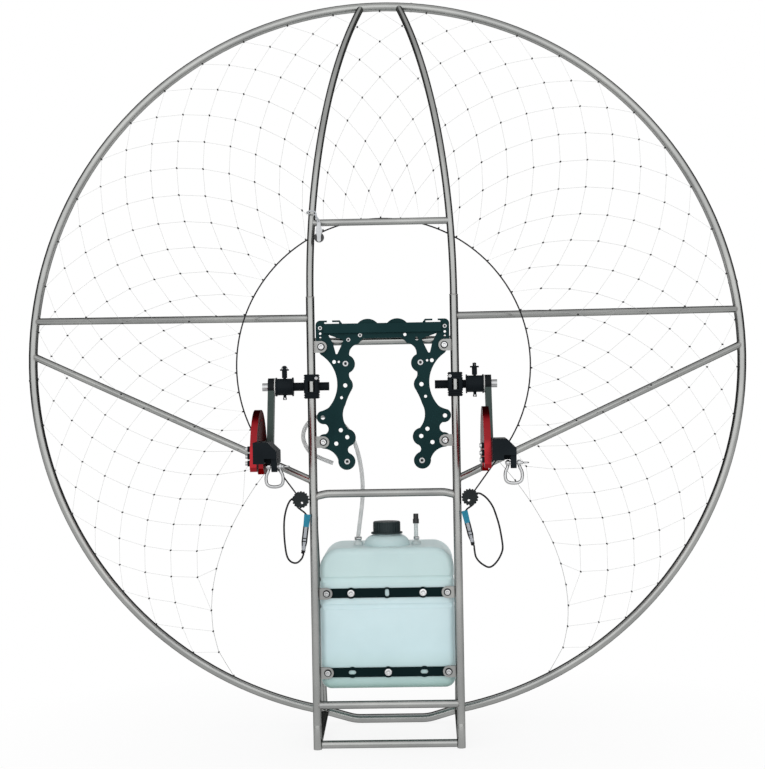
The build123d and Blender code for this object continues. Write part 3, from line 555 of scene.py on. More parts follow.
slotFinish = {
    "titanium_tube": titaniumTube,
    "tab_steel": tabSteel,
    "black_anodised": blackSheet,
    "strap_plastic": strapSheet,
    "tank_plastic": tankPlastic(),
    "cap_plastic": capMouldedAndHighlight,
    "fitting_plastic": paleFitting,
    "black_metal": blackTurned,
    "nylon": whiteNylon,
    "stainless": stainless,
    "arm_grey": armGrey(),
    "red_anodised": redAnodised,
    "net_cord": blackCord,
    "lock_plastic": blackMouldedAndShade,
    "cord_black": blackCord,
    "tab_webbing": tapeGrey,
    "hose_clear": clearHose(),
}
nodeFinish = {"starter_pulley": pulleyFinish(), "tank_vent": ventFinish()}
for part in frame["record"]["subparts"]:
    finish = nodeFinish.get(part["node"], slotFinish[part["material_slot"]])
    paint(nodes[part["node"]], finish)
print("finishes on", len(nodes), "CAD nodes")


# free cords, on the same routes as the solids

cordShape = {"order": 3, "steps": 10, "sides": 4}
hose = {
    "diameter": 0.008,
    "points": [
        (-0.0560, 0.080, 0.3976),
        (-0.0520, 0.072, 0.425),
        (-0.0440, 0.058, 0.478),
        (-0.0455, 0.052, 0.530),
        (-0.0570, 0.050, 0.582),
        (-0.0760, 0.050, 0.615),
        (-0.1040, 0.048, 0.634),
        (-0.1300, 0.044, 0.634),
        (-0.1500, 0.040, 0.620),
        (-0.1595, 0.036, 0.594),
        (-0.1470, 0.034, 0.566),
        (-0.1280, 0.034, 0.554),
        (-0.1000, 0.034, 0.543),
    ],
}
tails = {
    "diameter": 0.0035,
    "left": [
        (-0.1700, -0.002, 0.4795),
        (-0.1780, -0.003, 0.4795),
        (-0.1860, -0.004, 0.4670),
        (-0.1920, -0.005, 0.4460),
        (-0.1935, -0.006, 0.4230),
        (-0.1925, -0.006, 0.3960),
        (-0.1895, -0.006, 0.3710),
        (-0.1840, -0.006, 0.3605),
        (-0.1745, -0.006, 0.3555),
        (-0.1655, -0.006, 0.3580),
        (-0.1595, -0.007, 0.3660),
    ],
    "right": [
        (0.1680, -0.002, 0.4820),
        (0.1765, -0.003, 0.4845),
        (0.1855, -0.004, 0.4800),
        (0.1940, -0.005, 0.4725),
        (0.2040, -0.006, 0.4580),
        (0.2095, -0.006, 0.4415),
        (0.2150, -0.006, 0.4230),
        (0.2190, -0.006, 0.4000),
        (0.2215, -0.006, 0.3805),
        (0.2195, -0.006, 0.3710),
        (0.2130, -0.006, 0.3575),
        (0.2030, -0.006, 0.3460),
        (0.1940, -0.006, 0.3420),
        (0.1845, -0.006, 0.3470),
        (0.1755, -0.006, 0.3540),
        (0.1695, -0.007, 0.3630),
        (0.1680, -0.007, 0.3710),
        (0.1670, -0.008, 0.3800),
    ],
}


def layCord(name, node, route, diameter, slotName, **facts):
    points = [onFrame(*point) for point in route]
    curve = rodCurve(name, points, diameter / 2, closed=False, **cordShape)
    dress(curve, slotFinish[slotName], "chassis")
    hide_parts(node)


layCord("fuelHose", "fuel_hose", hose["points"], hose["diameter"], "hose_clear",
        far_end="bare", stiffness="medium", lay="loose")
for side in sideSigns:
    layCord("cordTail_" + side, "cord_tail_" + side, tails[side], tails["diameter"], "cord_black",
            far_end="knot", stiffness="limp", lay="hanging")
print("cords laid")


# cage net: a diamond mesh from the hoop down to the inner cord

net = {
    "columns": 47,  # cells around the whole hoop
    "across": 40,  # cells of the net, which is open at the foot
    "rows": 10,
    "thread": 0.0007,
    "edgeShare": 0.7,  # the border line's radius against the thread's thickness
    "knot": (0.0019, 0.0019, 0.0026),
    "hoopRadius": 0.7163,
    "hoopY": 0.2465,
    "ringRadius": 0.2829,
    "firstRow": 0.72,  # height of the first row against an even one
    "borderTurn": 22.7,  # degrees from the border's outer end to its inner end
    "borderCurve": 0.75,
    "snap": 0.5,  # cells within which a knot is drawn to the border
}


def netPoint(row, column):
    down = row / net["rows"]
    share = down * (net["firstRow"] + (1 - net["firstRow"]) * down)
    openHalf = 180 * (1 - net["across"] / net["columns"])
    turn = math.radians(openHalf - 90 + 360 * column / net["columns"])
    radius = net["hoopRadius"] + (net["ringRadius"] - net["hoopRadius"]) * share
    depth = net["hoopY"] + (cage["ringY"] - net["hoopY"]) * share
    centreZ = cage["hoopZ"] + (cage["ringZ"] - cage["hoopZ"]) * share
    return onFrame(radius * math.cos(turn), depth, centreZ + radius * math.sin(turn))


def netBorder(row):  # the first column of a row, where the net ends beside the ladder
    return net["columns"] * net["borderTurn"] / 360 * (row / net["rows"]) ** net["borderCurve"]


def netSheet():  # the lines of a square grid become the two leaning sets of strands
    reach = net["across"] + 1
    count = reach + net["rows"] + 2
    clearSelection()
    bpy.ops.mesh.primitive_grid_add(x_subdivisions=count, y_subdivisions=count, size=count)
    sheet = bpy.context.object
    dropped = set()
    for vertex in sheet.data.vertices:
        along = round(vertex.co.x + count / 2)
        back = round(vertex.co.y + count / 2) - reach - 1
        row = along + back
        column = (along - back) / 2
        inRows = 0 <= row <= net["rows"]
        first = netBorder(row) if inRows else 0
        last = net["across"] - first
        if not inRows or not first - net["snap"] < column < last + net["snap"]:
            dropped.add(vertex.index)
            continue
        if column <= first + net["snap"]:  # the outermost knots lie on the border
            column = first
        elif column >= last - net["snap"]:
            column = last
        vertex.co = netPoint(row, column)
    editPicked(sheet, "VERT", lambda vertex: vertex.index in dropped)
    bpy.ops.mesh.delete(type="VERT")
    leaveEdit()
    return sheet


def buildNet():
    sheet = netSheet()
    places = [vertex.co.copy() for vertex in sheet.data.vertices]
    applyModifier(sheet, "WIREFRAME", thickness=net["thread"], use_replace=True, use_even_offset=False)
    lines = [sheet]
    starts = [netBorder(row) for row in range(net["rows"] + 1)]
    for ends in (starts, [net["across"] - column for column in starts]):
        points = [netPoint(row, column) for row, column in enumerate(ends)]
        lines.append(roundLine("netEdge", points, net["thread"] * net["edgeShare"]))
    strands = paint(joinPieces(lines, "netStrands"), netLine)
    clearSelection()
    bpy.ops.mesh.primitive_ico_sphere_add(subdivisions=1, radius=1.0)
    knot = paint(bpy.context.object, netKnot)
    bpy.ops.transform.resize(value=net["knot"])
    bpy.ops.object.transform_apply(location=True, rotation=True, scale=True)
    turned = [aimed((place.x, 0, place.z - cage["ringZ"]), place) for place in places]
    knots = spreadCopies(knot, turned, "netKnots")
    whole = joinPieces([strands, knots], "cageNet")
    belong(whole, "chassis")
    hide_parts("cage_net")
    return len(places)


print("net knots:", buildNet())


# bolts, washers painted black as a shade ring, nuts, and bushes with painted shade in their bores

tabBolt = {
    "washer": {"radius": 0.0071, "low": 0, "high": 0.0012, "sides": 32},
    "head": {"radius": 0.0052, "low": 0.0012, "high": 0.0057, "socket": 0.0028, "socketDeep": 0.0028},
    "edge": 0.0005,
    "places": {
        "plateTabs": [(0.1170, -0.004, 0.766), (0.1156, -0.004, 0.585)],
        "tankTabs": [(0.1150, 0.002, 0.296), (0.1150, 0.002, 0.145)],
    },
    # the plate-tab bolt heads take steel painted brighter as a highlight
    "finish": {"plateTabs": highlightSteel, "tankTabs": stainless},
}
strapBolt = {
    "head": {"radius": 0.0068, "low": 0, "high": 0.004, "socket": 0.003, "socketDeep": 0.0025,
             "edge": 0.0006},
    "places": [(-0.0686, 0.006, 0.296), (0.0686, 0.006, 0.296), (0.0, 0.006, 0.145)],
}
tabNut = {
    "body": {"radius": 0.0075, "low": 0, "high": 0.0055, "sides": 6},
    "stud": {"radius": 0.003, "low": 0.001, "high": 0.009, "sides": 16},
    "edge": 0.0005,
    "plateBack": 0.006,
}
bush = {
    "ring": {"radius": 0.0054, "low": -0.0005, "high": 0.0014, "sides": 32,
             "rim": 0.0025, "dip": 0.0014, "edge": 0.0004},
    "engine": [(0.0712, 0.0, 0.7333), (0.0712, 0.0, 0.547)],
    "ears": [(0.1185, 0.0, 0.8016)],
    "leftOnly": [(-0.0426, 0.0, 0.7868), (-0.065, 0.0, 0.7786)],
    "smallScale": 0.72,
    "flat": 1e-5,
}


def fitTabBolts():
    for name, places in tabBolt["places"].items():
        # the washer under each head is painted black: painted shade, the dark ring round the head
        washer = edgedBar(**tabBolt["washer"], edge=tabBolt["edge"])
        head = socketHead(**tabBolt["head"], edge=tabBolt["edge"])
        model = joinPieces([paint(washer, blackMouldedAndShade), paint(head, tabBolt["finish"][name])], "boltModel")
        belong(spreadAimed(model, forward, bothSides(places), name + "Bolts"), "chassis")


def fitStrapBolts():
    places = [onFrame(*place) for place in strapBolt["places"]]
    bolts = spreadAimed(socketHead(**strapBolt["head"]), forward, places, "strapBolts")
    # the strap bolt heads are steel painted brighter as a highlight
    dress(bolts, highlightSteel, "chassis")


def fitTabNuts():
    parts = [edgedBar(**tabNut[name], edge=tabNut["edge"]) for name in ("body", "stud")]
    behind = [(x, tabNut["plateBack"], z) for x, _, z in tabBolt["places"]["plateTabs"]]
    nuts = spreadAimed(joinPieces(parts, "nutModel"), rearward, bothSides(behind), "tabNuts")
    dress(nuts, stainless, "chassis")


def fitBushes():
    small = Matrix.Diagonal((bush["smallScale"], bush["smallScale"], 1, 1))
    places = [aimed(forward, place) for place in bothSides(bush["engine"])]
    places += [aimed(forward, place) @ small for place in bothSides(bush["ears"])]
    places += [aimed(forward, onFrame(*place)) @ small for place in bush["leftOnly"]]
    bushes = spreadCopies(dishedBar(**bush["ring"]), places, "plateBushes")
    dress(bushes, stainless, "chassis")
    bushes.data.materials.append(blackMouldedAndShade)
    for face in bushes.data.polygons:  # painted shade: the bottom of each bore is painted dark
        if face.normal.y < -shaping["facing"] and abs(face.center.y - ladderY) < bush["flat"]:
            face.material_index = 1


fitTabBolts()
fitStrapBolts()
fitTabNuts()
fitBushes()
print("bolts fitted")


# swing arm details

arms = {
    "edge": 0.0005,
    "barLow": {"left": -0.22035, "right": 0.19335},
    "plateThick": 0.012,
    "studs": [(-0.226, 0.582), (-0.228, 0.569), (-0.230, 0.557)],
    "stud": {"radius": 0.0036, "low": -0.001, "high": 0.0085, "sides": 16, "rim": 0.0012, "dip": 0.0008},
    "nut": {"radius": 0.006, "low": 0, "high": 0.0045, "sides": 6, "rim": 0.0019, "dip": 0.001},
    "lockPinX": {"left": -0.189, "right": 0.174},
    "lockPinY": 0.017,
    "tipZ": 0.669,
    "tip": {"radius": 0.0036, "low": -0.0015, "high": 0.003, "sides": 16, "rim": 0.0014, "dip": 0.001},
    "ringZ": 0.7258,
    "ringRadius": 0.0052,
    "ringRod": 0.0009,
    "ringSteps": 12,
    "ringTurn": {"left": 12, "right": 100},
}
clampScrew = {
    "head": {"radius": 0.0031, "low": -0.001, "high": 0.0028, "socket": 0.0015, "socketDeep": 0.0014,
             "edge": 0.0004},
    "fromUpright": 0.0098,
    "y": -0.012,
    "z": 0.7065,
}


def fitStuds(side):
    body = "arm_" + side
    face = arms["barLow"][side] - arms["plateThick"]
    places = [onFrame(face, y, z) for y, z in arms["studs"]]
    stud = dishedBar(**arms["stud"], edge=arms["edge"])
    dress(spreadAimed(stud, leftward, places, "armStuds_" + side), stainless, body)
    nut = dishedBar(**arms["nut"], edge=arms["edge"])
    dress(spreadAimed(nut, leftward, places, "armNuts_" + side), blackTurned, body)


def fitLockPin(side):
    x, y = arms["lockPinX"][side], arms["lockPinY"]
    tip = dishedBar(**arms["tip"], edge=arms["edge"])
    tip.matrix_world = aimed(downward, onFrame(x, y, arms["tipZ"]))
    dress(settle(tip, "lockPinTip_" + side), stainless, "chassis")
    turn = math.radians(arms["ringTurn"][side])
    points = circlePoints(onFrame(x, y, arms["ringZ"]), Vector((math.cos(turn), math.sin(turn), 0)),
                          Vector(upward), arms["ringRadius"], arms["ringSteps"])
    ring = roundLine("lockPinRing_" + side, points, arms["ringRod"], closed=True, order=3)
    dress(settle(ring, "lockPinRing_" + side), darkSteel, "chassis")


def fitClampScrews():
    x = ladder["uprightX"] - clampScrew["fromUpright"]
    places = bothSides([(x, clampScrew["y"], clampScrew["z"])])
    screws = spreadAimed(socketHead(**clampScrew["head"]), forward, places, "clampScrews")
    dress(screws, stainless, "chassis")


for side in sideSigns:
    fitStuds(side)
    fitLockPin(side)
fitClampScrews()
print("swing arms fitted")


# bow shackles on the arm blocks

shackle = {
    "lugX": {"left": -0.18435, "right": 0.22935},
    "pinAt": (-0.287, 0.5535),
    "rod": 0.00275,
    "bow": [(0.0096, 0.0015), (0.0096, -0.007), (0.0148, -0.015), (0.0148, -0.030), (0.007, -0.0352)],
    "bars": [
        {"radius": 0.0052, "low": 0.0067, "high": 0.0125, "sides": 24},  # ears
        {"radius": 0.0052, "low": -0.0125, "high": -0.0067, "sides": 24},
        {"radius": 0.00275, "low": -0.0145, "high": 0.0165, "sides": 20},  # pin
    ],
    "edge": 0.0006,
    "eyeX": 0.0207,
    "eyeRadius": 0.0042,
    "eyeRod": 0.0013,
    "eyeSteps": (20, 8),
    "eyeStretch": (1.15, 0.92, 1.0),
}


def shackleEye(centre):
    clearSelection()
    around, across = shackle["eyeSteps"]
    bpy.ops.mesh.primitive_torus_add(major_radius=shackle["eyeRadius"], minor_radius=shackle["eyeRod"],
                                     major_segments=around, minor_segments=across)
    eye = bpy.context.object
    bpy.ops.object.mode_set(mode="EDIT")
    bpy.ops.transform.resize(value=shackle["eyeStretch"])
    leaveEdit()
    bpy.ops.object.shade_smooth()
    eye.matrix_world = Matrix.Translation(centre + Vector((shackle["eyeX"], 0, 0)))
    return eye


def buildShackle(side):
    centre = onFrame(shackle["lugX"][side], *shackle["pinAt"])
    outline = [centre + Vector((-x, 0, drop)) for x, drop in shackle["bow"]]
    outline += [centre + Vector((x, 0, drop)) for x, drop in reversed(shackle["bow"])]
    pieces = [roundLine("bow", outline, shackle["rod"], order=3)]
    for size in shackle["bars"]:
        bar = edgedBar(**size, edge=shackle["edge"])
        bar.matrix_world = aimed(rightward, centre)
        pieces.append(bar)
    pieces.append(shackleEye(centre))
    whole = joinPieces(pieces, "bowShackle_" + side)
    dress(whole, stainless, "shackle_" + side)
    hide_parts("shackle_" + side)


for side in sideSigns:
    buildShackle(side)
print("shackles made")


# inner net cord: a taut ring that runs down to both cord locks

ringCord = {
    "corners": 144,
    "radius": 0.281,
    "leaves": -36.5,  # degrees from level where the cord leaves the ring
    "toLock": 0.96,  # share of the way to the lock's middle
    "rod": 0.0014,
    "rodSides": 3,
}


def threadRing():
    clearSelection()
    bpy.ops.mesh.primitive_circle_add(
        vertices=ringCord["corners"], radius=ringCord["radius"], rotation=(math.radians(90), 0, 0),
        location=onFrame(0, cage["ringY"], cage["ringZ"]))
    ring = settle(bpy.context.object, "netRing")
    lowest = cage["ringZ"] + ringCord["radius"] * math.sin(math.radians(ringCord["leaves"]))
    editPicked(ring, "VERT", lambda vertex: vertex.co.z < lowest)
    bpy.ops.mesh.delete(type="VERT")
    leaveEdit()
    for lock in bothSides([cage["lock"]]):
        half = [vertex for vertex in ring.data.vertices if vertex.co.x * lock.x > 0]
        end = min(half, key=lambda vertex: vertex.co.z)
        endIndex = end.index
        run = (lock - end.co) * ringCord["toLock"]
        editPicked(ring, "VERT", lambda vertex: vertex.index == endIndex)
        bpy.ops.mesh.extrude_region_move(TRANSFORM_OT_translate={"value": run})
        leaveEdit()
    bpy.ops.object.convert(target="CURVE")
    cord = bpy.context.object
    cord.data.bevel_depth = ringCord["rod"]
    cord.data.bevel_resolution = ringCord["rodSides"]
    cord.data.use_fill_caps = True
    bpy.ops.object.convert(target="MESH")
    bpy.ops.object.shade_smooth()
    cord = settle(bpy.context.object, "netRing")
    dress(cord, blackCord, "chassis")
    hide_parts("net_cord")


threadRing()
print("net ring threaded")


# weld beads where tubes meet

weld = {
    "bead": 0.0011,
    "steps": 28,
    "tubes": {"upright": ladder["uprightRadius"], "spar": 0.007, "cross": 0.0075, "hoop": 0.009},
    "sparJoints": [(0.821, 0.094), (0.511, 0.023)],  # height on the upright, height above the hoop's centre
    "braceTop": 0.447,
    "braceFoot": 0.228,
    "lowerCross": 0.0845,
    "middleCross": 0.481,
    "middleKnee": (0.1125, 0.010, 0.486),
    "butt": 0.861,
    "buttRadius": 0.0074,
    "tabReach": 0.0108,
    "tabBack": 0.0002,  # from the bolt's washer to the tab's middle
    "tabBead": 0.9,  # a tab's bead against a tube's
}


def saddleBead(start, toward, branchRadius, mainAxis, mainRadius):  # where one tube lands on another
    along = (toward - start).normalized()
    mainAxis = mainAxis.normalized()
    firstSide = along.orthogonal().normalized()
    climb = along - along.dot(mainAxis) * mainAxis
    steep = climb.dot(climb)
    points = []
    for edge in circlePoints(start, firstSide, along.cross(firstSide), branchRadius, weld["steps"]):
        offset = edge - start
        offset = offset - offset.dot(mainAxis) * mainAxis
        lean = offset.dot(climb)
        square = lean ** 2 - steep * (offset.dot(offset) - mainRadius ** 2)
        points.append(edge + along * ((math.sqrt(max(square, 0.0)) - lean) / steep))
    return roundLine("bead", points, weld["bead"], closed=True)


def tubeJoints(sign):  # start, far end, branch tube, main tube's direction, main tube
    x = sign * ladder["uprightX"]
    up = Vector(upward)
    joints = []
    for height, rise in weld["sparJoints"]:
        out = sign * math.sqrt(cage["hoopRadius"] ** 2 - rise ** 2)
        inner = onFrame(x, 0, height)
        outer = onFrame(out, cage["hoopY"], cage["hoopZ"] + rise)
        joints.append((inner, outer, "spar", up, "upright"))
        joints.append((outer, inner, "spar", Vector((-rise, 0, out)), "hoop"))
    lower = onFrame(x, 0, weld["lowerCross"])
    joints.append((lower, onFrame(0, 0, weld["lowerCross"]), "cross", up, "upright"))
    middle = onFrame(x, 0, weld["middleCross"])
    kneeX, kneeY, kneeZ = weld["middleKnee"]
    joints.append((middle, onFrame(sign * kneeX, kneeY, kneeZ), "cross", up, "upright"))
    hoopDrop = math.sqrt(cage["hoopRadius"] ** 2 - x ** 2)
    hoopFoot = onFrame(x, cage["hoopY"], cage["hoopZ"] - hoopDrop)
    floorEnd = onFrame(x, 0, weld["tubes"]["upright"])
    top = onFrame(x, 0, weld["braceTop"])
    foot = floorEnd + weld["braceFoot"] / cage["hoopY"] * (hoopFoot - floorEnd)
    joints.append((top, foot, "spar", up, "upright"))
    joints.append((foot, top, "spar", hoopFoot - floorEnd, "upright"))
    joints.append((hoopFoot, floorEnd, "upright", Vector((hoopDrop, 0, x)), "hoop"))
    return joints


def tabBeads(sign):
    x = sign * ladder["uprightX"]
    reach = weld["tabReach"]
    beads = []
    for places in tabBolt["places"].values():
        for _, boltY, z in places:
            y = boltY - weld["tabBack"]
            edge = x - sign * math.sqrt(weld["tubes"]["upright"] ** 2 - y ** 2)
            line = [onFrame(edge, y, z - reach), onFrame(edge, y, z), onFrame(edge, y, z + reach)]
            beads.append(roundLine("bead", line, weld["bead"] * weld["tabBead"]))
    return beads


def layWelds():
    tubes = weld["tubes"]
    beads = []
    for sign in sideSigns.values():
        for start, toward, branch, mainAxis, main in tubeJoints(sign):
            beads.append(saddleBead(start, toward, tubes[branch], mainAxis, tubes[main]))
        butt = circlePoints(onFrame(sign * ladder["uprightX"], 0, weld["butt"]), Vector(rightward),
                            Vector(rearward), weld["buttRadius"], weld["steps"])
        beads.append(roundLine("bead", butt, weld["bead"], closed=True))
        beads += tabBeads(sign)
    count = len(beads)
    dress(joinPieces(beads, "weldBeads"), weldBead, "chassis")
    return count


print("weld beads:", layWelds())


# pull tabs below the cord locks

pullTab = {
    "depth": -0.009,
    "routes": {
        "left": ((-0.148, 0.4485), (-0.157, 0.379)),
        "right": ((0.1495, 0.451), (0.164, 0.390)),
    },
    "halfWide": 0.0061,
    "gripLong": 0.024,
    "gripThick": 0.0042,
    "gripFoot": (0.86, 0.7, 1.0),
    "gripRim": 0.0016,
    "gripDish": (1.0, 0.82, 1.0),
    "gripEdge": 0.0008,
    "tapeCells": (8, 26),
    "tapeFrom": 0.8,  # share of the grip's length after which the tape starts
    "tapeWide": 0.9,  # against the grip
    "tapeThick": 0.0018,
    "taper": (0.75, 0.45),  # where along the tab the tape starts to narrow, and by how much
    "ripple": (0.0006, 9),
    "core": 0.45,
    "bands": (0.64, 0.74),
    "bandHalf": 0.016,
    "cord": 0.00175,
    "leadOut": 0.0085,
    "leadDrop": 0.0119,
    "leadDepth": -0.0054,
    "leadTop": (0.002, 0.001),
    "leadIn": 0.005,
    "knotCord": 0.0017,
    "knotTurns": 2,
    "knotSteps": 16,
    "knotWide": 0.0026,
    "knotDeep": 0.0024,
    "knotAbove": 0.002,
    "knotStep": 0.0004,
    "tailEnd": {"left": (-0.1598, 0.3655), "right": (0.1672, 0.3795)},
}


def pullTape(head, down, wide, tabLong):
    clearSelection()
    across, along = pullTab["tapeCells"]
    bpy.ops.mesh.primitive_grid_add(x_subdivisions=across, y_subdivisions=along, size=2)
    tape = bpy.context.object
    start = pullTab["gripLong"] * pullTab["tapeFrom"] / tabLong
    taperFrom, taperBy = pullTab["taper"]
    rippleHigh, rippleRate = pullTab["ripple"]
    for vertex in tape.data.vertices:
        run = start + (1 - start) * (vertex.co.y + 1) / 2
        narrow = 1 - taperBy * max(0.0, (run - taperFrom) / (1 - taperFrom))
        out = pullTab["halfWide"] * pullTab["tapeWide"] * narrow * vertex.co.x
        ripple = Vector((0, rippleHigh * math.sin(rippleRate * run), 0))
        vertex.co = head + down * tabLong * run + wide * out + ripple
    paint(tape, tapeGrey)
    tape.data.materials.append(blackCord)
    for face in tape.data.polygons:  # dark borders and two dark bands
        fromHead = face.center - head
        run = fromHead.dot(down) / tabLong
        banded = any(abs(run - band) < pullTab["bandHalf"] for band in pullTab["bands"])
        border = abs(fromHead.dot(wide)) > pullTab["core"] * pullTab["halfWide"]
        face.material_index = 1 if banded or border else 0
    applyModifier(tape, "SOLIDIFY", thickness=pullTab["tapeThick"], offset=0)
    smoothFaces()
    return tape


def pullGrip(head, down, wide):
    clearSelection()
    bpy.ops.mesh.primitive_cube_add(size=1)
    grip = bpy.context.object
    bpy.ops.object.mode_set(mode="EDIT")
    bpy.ops.transform.resize(value=(2 * pullTab["halfWide"], pullTab["gripThick"], pullTab["gripLong"]))
    leaveEdit()
    editPicked(grip, "FACE", lambda face: face.normal.z < -shaping["facing"])
    bpy.ops.transform.resize(value=pullTab["gripFoot"])
    leaveEdit()
    editPicked(grip, "FACE", lambda face: abs(face.normal.y) > shaping["facing"])
    bpy.ops.mesh.inset(thickness=pullTab["gripRim"])
    bpy.ops.transform.resize(value=pullTab["gripDish"])
    leaveEdit()
    softenEdges(grip, pullTab["gripEdge"])
    alongTab = Matrix((wide, -wide.cross(down), -down)).transposed().to_4x4()
    grip.matrix_world = Matrix.Translation(head + down * pullTab["gripLong"] / 2) @ alongTab
    return paint(grip, tealMoulded)


def pullLead(sign, head, down):  # from the lock's lower outer rim to the grip
    lockX, lockY, lockZ = cage["lock"]
    rimX = sign * (lockX + pullTab["leadOut"])
    topX, topZ = pullTab["leadTop"]
    points = [
        onFrame(rimX, lockY, lockZ - pullTab["leadOut"]),
        onFrame(rimX, pullTab["leadDepth"], lockZ - pullTab["leadDrop"]),
        head + Vector((sign * topX, 0, topZ)),
        head + down * pullTab["leadIn"],
    ]
    return paint(roundLine("lead", points, pullTab["cord"]), blackCord)


def pullKnot(tail, down, wide, tailEnd):  # two turns of cord
    points = []
    for step in range(pullTab["knotSteps"]):
        turn = math.tau * pullTab["knotTurns"] * step / pullTab["knotSteps"]
        out = wide * pullTab["knotWide"] * math.cos(turn)
        back = Vector((0, pullTab["knotDeep"] * math.sin(turn), 0))
        points.append(tail + out + back + down * (pullTab["knotStep"] * step - pullTab["knotAbove"]))
    points.append(tailEnd)
    return paint(roundLine("knot", points, pullTab["knotCord"], order=3), blackCord)


def buildPullTab(side, sign):
    (headX, headZ), (tailX, tailZ) = pullTab["routes"][side]
    endX, endZ = pullTab["tailEnd"][side]
    head = onFrame(headX, pullTab["depth"], headZ)
    tail = onFrame(tailX, pullTab["depth"], tailZ)
    down = (tail - head).normalized()
    wide = down.cross(Vector(rearward)).normalized()
    pieces = [
        pullTape(head, down, wide, (tail - head).length),
        pullGrip(head, down, wide),
        pullLead(sign, head, down),
        pullKnot(tail, down, wide, onFrame(endX, pullTab["depth"], endZ)),
    ]
    whole = joinPieces(pieces, "pullTab_" + side)
    editPicked(whole, "FACE", lambda face: True)
    bpy.ops.mesh.normals_make_consistent(inside=False)
    leaveEdit()
    belong(whole, "chassis")
    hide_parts("pull_tab_" + side)


for side, sign in sideSigns.items():
    buildPullTab(side, sign)
print("pull tabs made")


# small clamps, the pulley's sling and the uprights' ends

clamp = {
    "places": {"outletClamp": (-0.056, 0.080, 0.3915), "ventClamp": (0.057, 0.080, 0.3905)},
    "inner": {"outletClamp": 0.006, "ventClamp": 0.004},
    "wall": 0.0012,
    "high": 0.005,
    "corners": 28,
    "sideways": 0.1,  # largest share of height in the normal of a face on the band's side
    "rim": 0.0009,
    "waist": (0.96, 0.96, 1.0),
    "edge": 0.0002,
    "screw": {"radius": 0.0024, "low": -0.004, "high": 0.004, "socket": 0.0012, "socketDeep": 0.001,
              "edge": 0.0004},
    "screwX": 0.002,
    "screwOut": 0.0022,
}
sling = {
    "rod": 0.0014,
    "top": (-0.1312, 0.0017, 1.021),
    "low": (-0.1164, -0.0135, 0.9955),
    "wrap": 0.0088,
}
heel = {
    "top": 0.052,
    "stub": {"radius": 0.0079, "low": 0, "high": 0.0516, "sides": 32, "rim": 0.0018, "dip": 0.0012,
             "edge": 0.0014, "segments": 3},
}


def hoseClamp(name):
    x, y, z = clamp["places"][name]
    inner = clamp["inner"][name]
    band = roundBar(inner + clamp["wall"], 0, clamp["high"], clamp["corners"])
    editPicked(band, "FACE", lambda face: abs(face.normal.z) < clamp["sideways"])
    bpy.ops.mesh.inset(thickness=clamp["rim"], use_individual=False)
    bpy.ops.transform.resize(value=clamp["waist"])
    leaveEdit()
    softenEdges(band, clamp["edge"], 1)
    band.matrix_world = Matrix.Translation(onFrame(x, y, z))
    screw = socketHead(**clamp["screw"])
    beside = onFrame(x + clamp["screwX"], y - inner - clamp["screwOut"], z + clamp["high"] / 2)
    screw.matrix_world = aimed(rightward, beside)
    dress(joinPieces([band, screw], name), stainless, "chassis")


def hangSling():  # once around the left spar, by the top cross tube, and through the pulley's eye
    top = onFrame(*sling["top"])
    low = onFrame(*sling["low"])
    wrap = sling["wrap"]
    points = [
        low + Vector((0.0030, 0, 0)),
        low + Vector((0.0004, 0.002, 0.010)),
        top + Vector((wrap, -0.002, -0.006)),
        top + Vector((wrap, -0.004, 0.002)),
        top + Vector((0, -wrap, 0.004)),
        top + Vector((-wrap, -0.002, 0.002)),
        top + Vector((-wrap, wrap * 0.8, 0)),
        top + Vector((0, wrap, -0.001)),
        top + Vector((wrap, wrap * 0.8, -0.003)),
        top + Vector((wrap * 0.9, 0.0, -0.008)),
        low + Vector((-0.002, -0.002, 0.010)),
        low + Vector((-0.0030, 0, 0)),
        low + Vector((0.0, -0.001, -0.0022)),
    ]
    cord = roundLine("pulleySling", points, sling["rod"], closed=True, order=3)
    dress(settle(cord, "pulleySling"), slingCord, "chassis")


def standHeels():  # the uprights' straight ends on the floor, below the rearward bends
    places = bothSides([(ladder["uprightX"], 0, heel["top"])])
    stubs = spreadAimed(dishedBar(**heel["stub"]), downward, places, "uprightHeels")
    dress(stubs, titaniumTube, "chassis")


for name in clamp["places"]:
    hoseClamp(name)
hangSling()
standHeels()
print("fittings done")


# plain floor, soft light and the camera

floorSet = {
    "size": 12.0,
    "colour": (0.86, 0.86, 0.86),
    "rough": 0.8,
    "gloss": 0.1,
    "fade": (0.2, 1.0),  # metres from the middle over which the floor turns white
    "glow": 0.86,
}
backdrop = {
    "fill": 0.78,
    "dimSides": 0.02,
    "overhead": 0.66,
    "ahead": 0.75,
    "corners": 0.3,
    "openFront": (0.2, 0.46),
    "openBack": (0.86, 1.0),
}
frontLamp = {"place": (-0.2, -4.2, 1.6), "aim": (0, 0, 0.7), "size": (11.0, 6.0), "power": 165}
view = {
    "distance": 3.2,
    "turn": 1.37,
    "roll": 1.0,
    "height": 0.6925,
    "shiftX": -0.0015,
    "focalPixels": 1684.0,
    "frameHeight": 769,
    "sensor": 36,
}


def viewRays(tree):  # rays straight or through clear pieces to the eye, and mirrored rays
    light = tree.nodes.new("ShaderNodeLightPath")
    straight = sums(tree, "MAXIMUM", light.outputs["Is Camera Ray"], light.outputs["Is Transmission Ray"])
    return straight, light.outputs["Is Glossy Ray"]


def mixShaders(tree, factor, first, second, output):
    mix = tree.nodes.new("ShaderNodeMixShader")
    tree.links.new(factor, mix.inputs["Fac"])
    tree.links.new(first, mix.inputs[1])
    tree.links.new(second, mix.inputs[2])
    tree.links.new(mix.outputs["Shader"], output.inputs["Surface"])


